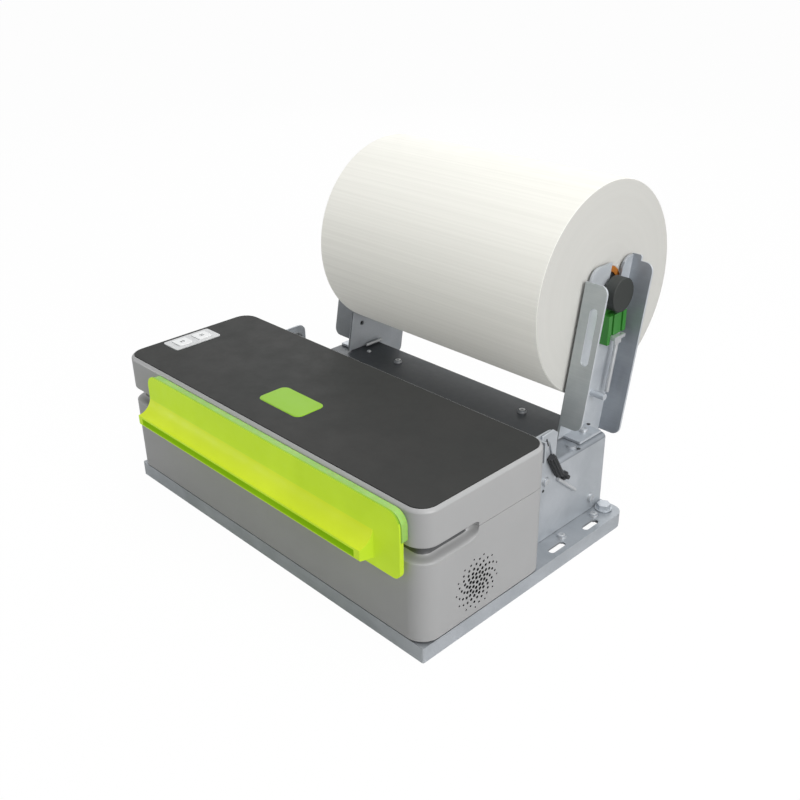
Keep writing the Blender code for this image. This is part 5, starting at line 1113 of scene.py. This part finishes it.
def any_ray(tree, *kinds):
    """1 for a ray of one of these kinds, 0 for any other."""
    path = tree.nodes.new("ShaderNodeLightPath")
    found = path.outputs[f"Is {kinds[0]} Ray"]
    for kind in kinds[1:]:
        either = tree.nodes.new("ShaderNodeMath")
        either.operation = "MAXIMUM"
        tree.links.new(found, either.inputs[0])
        tree.links.new(path.outputs[f"Is {kind} Ray"], either.inputs[1])
        found = either.outputs["Value"]
    return found


def blend(tree, share, first, second):
    """A mix of two shaders; share is the second one's part, a number or an output."""
    node = tree.nodes.new("ShaderNodeMixShader")
    if isinstance(share, float):
        node.inputs["Fac"].default_value = share
    else:
        tree.links.new(share, node.inputs["Fac"])
    tree.links.new(first, node.inputs[1])
    tree.links.new(second, node.inputs[2])
    return node.outputs["Shader"]


def make_stage():
    """A floor that the camera sees near white and that sends less light back up."""
    shape = bmesh.new()
    bmesh.ops.create_grid(shape, x_segments=1, y_segments=1, size=6.0)
    mesh = mesh_of("floor", shape)
    floor = linked("floor", mesh)
    surface = bpy.data.materials.new("floor_white")
    tree = fresh_tree(surface)
    near = source(tree, "BsdfDiffuse", Color=WHITE)
    bounce = source(tree, "BsdfDiffuse", Color=(0.50, 0.50, 0.50, 1.0))
    glow = source(tree, "Emission", Color=WHITE, Strength=1.0)
    seen = blend(tree, 0.975, near, glow)
    both = blend(tree, any_ray(tree, "Camera", "Transmission"), bounce, seen)
    out = tree.nodes.new("ShaderNodeOutputMaterial")
    tree.links.new(both, out.inputs["Surface"])
    mesh.materials.append(surface)


def make_world():
    """A soft pale light; the camera, mirrors and glass see plain white instead."""
    world = bpy.data.worlds.new("studio")
    bpy.context.scene.world = world
    tree = fresh_tree(world)
    soft = source(tree, "Background", Color=(0.97, 0.985, 1.0, 1.0), Strength=0.285)
    white = source(tree, "Background", Color=WHITE, Strength=1.0)
    both = blend(tree, any_ray(tree, "Camera", "Glossy", "Transmission"), soft, white)
    out = tree.nodes.new("ShaderNodeOutputWorld")
    tree.links.new(both, out.inputs["Surface"])


def area_lamp(name, place, size, level, aim=(0.0, 0.0, 0.08)):
    """A square lamp that lights a facing surface at aim to a level, where 1 shows its colour as written."""
    lamp = bpy.data.lights.new(name, "AREA")
    lamp.shape = "SQUARE"
    lamp.size = size
    way = Vector(aim) - Vector(place)
    lamp.energy = level * math.pi ** 2 * way.length_squared
    obj = linked(name, lamp)
    obj.location = place
    obj.rotation_mode = "QUATERNION"
    obj.rotation_quaternion = way.to_track_quat("-Z", "Y")
    obj.visible_camera = False


def make_camera():
    yaw, pitch, roll = math.radians(46.104), math.radians(26.920), math.radians(-0.969)
    back = Vector((math.sin(yaw) * math.cos(pitch), -math.cos(yaw) * math.cos(pitch), math.sin(pitch)))
    right = Vector((math.cos(yaw), math.sin(yaw), 0.0))
    up = back.cross(right)
    across = right * math.cos(roll) + up * math.sin(roll)
    over = up * math.cos(roll) - right * math.sin(roll)
    data = bpy.data.cameras.new("camera")
    data.sensor_width = 36.0
    data.lens = 43.48
    data.clip_start, data.clip_end = 0.01, 50.0
    camera = linked("camera", data)
    turn = Matrix((across, over, back)).transposed().to_4x4()
    camera.matrix_world = Matrix.Translation((0.4613, -0.4473, 0.3960)) @ turn
    bpy.context.scene.camera = camera


make_stage()
make_world()
area_lamp("top_light", (0.25, 0.05, 1.35), 1.1, 0.57)
area_lamp("side_light", (1.28, -0.26, 0.64), 0.9, 0.62)
area_lamp("left_light", (-0.50, -0.50, 0.12), 0.25, 0.26, (-0.155, -0.137, 0.04))
area_lamp("back_light", (-0.9, 1.0, 0.7), 0.9, 0.16)
make_camera()
bpy.context.scene.view_settings.view_transform = "Standard"
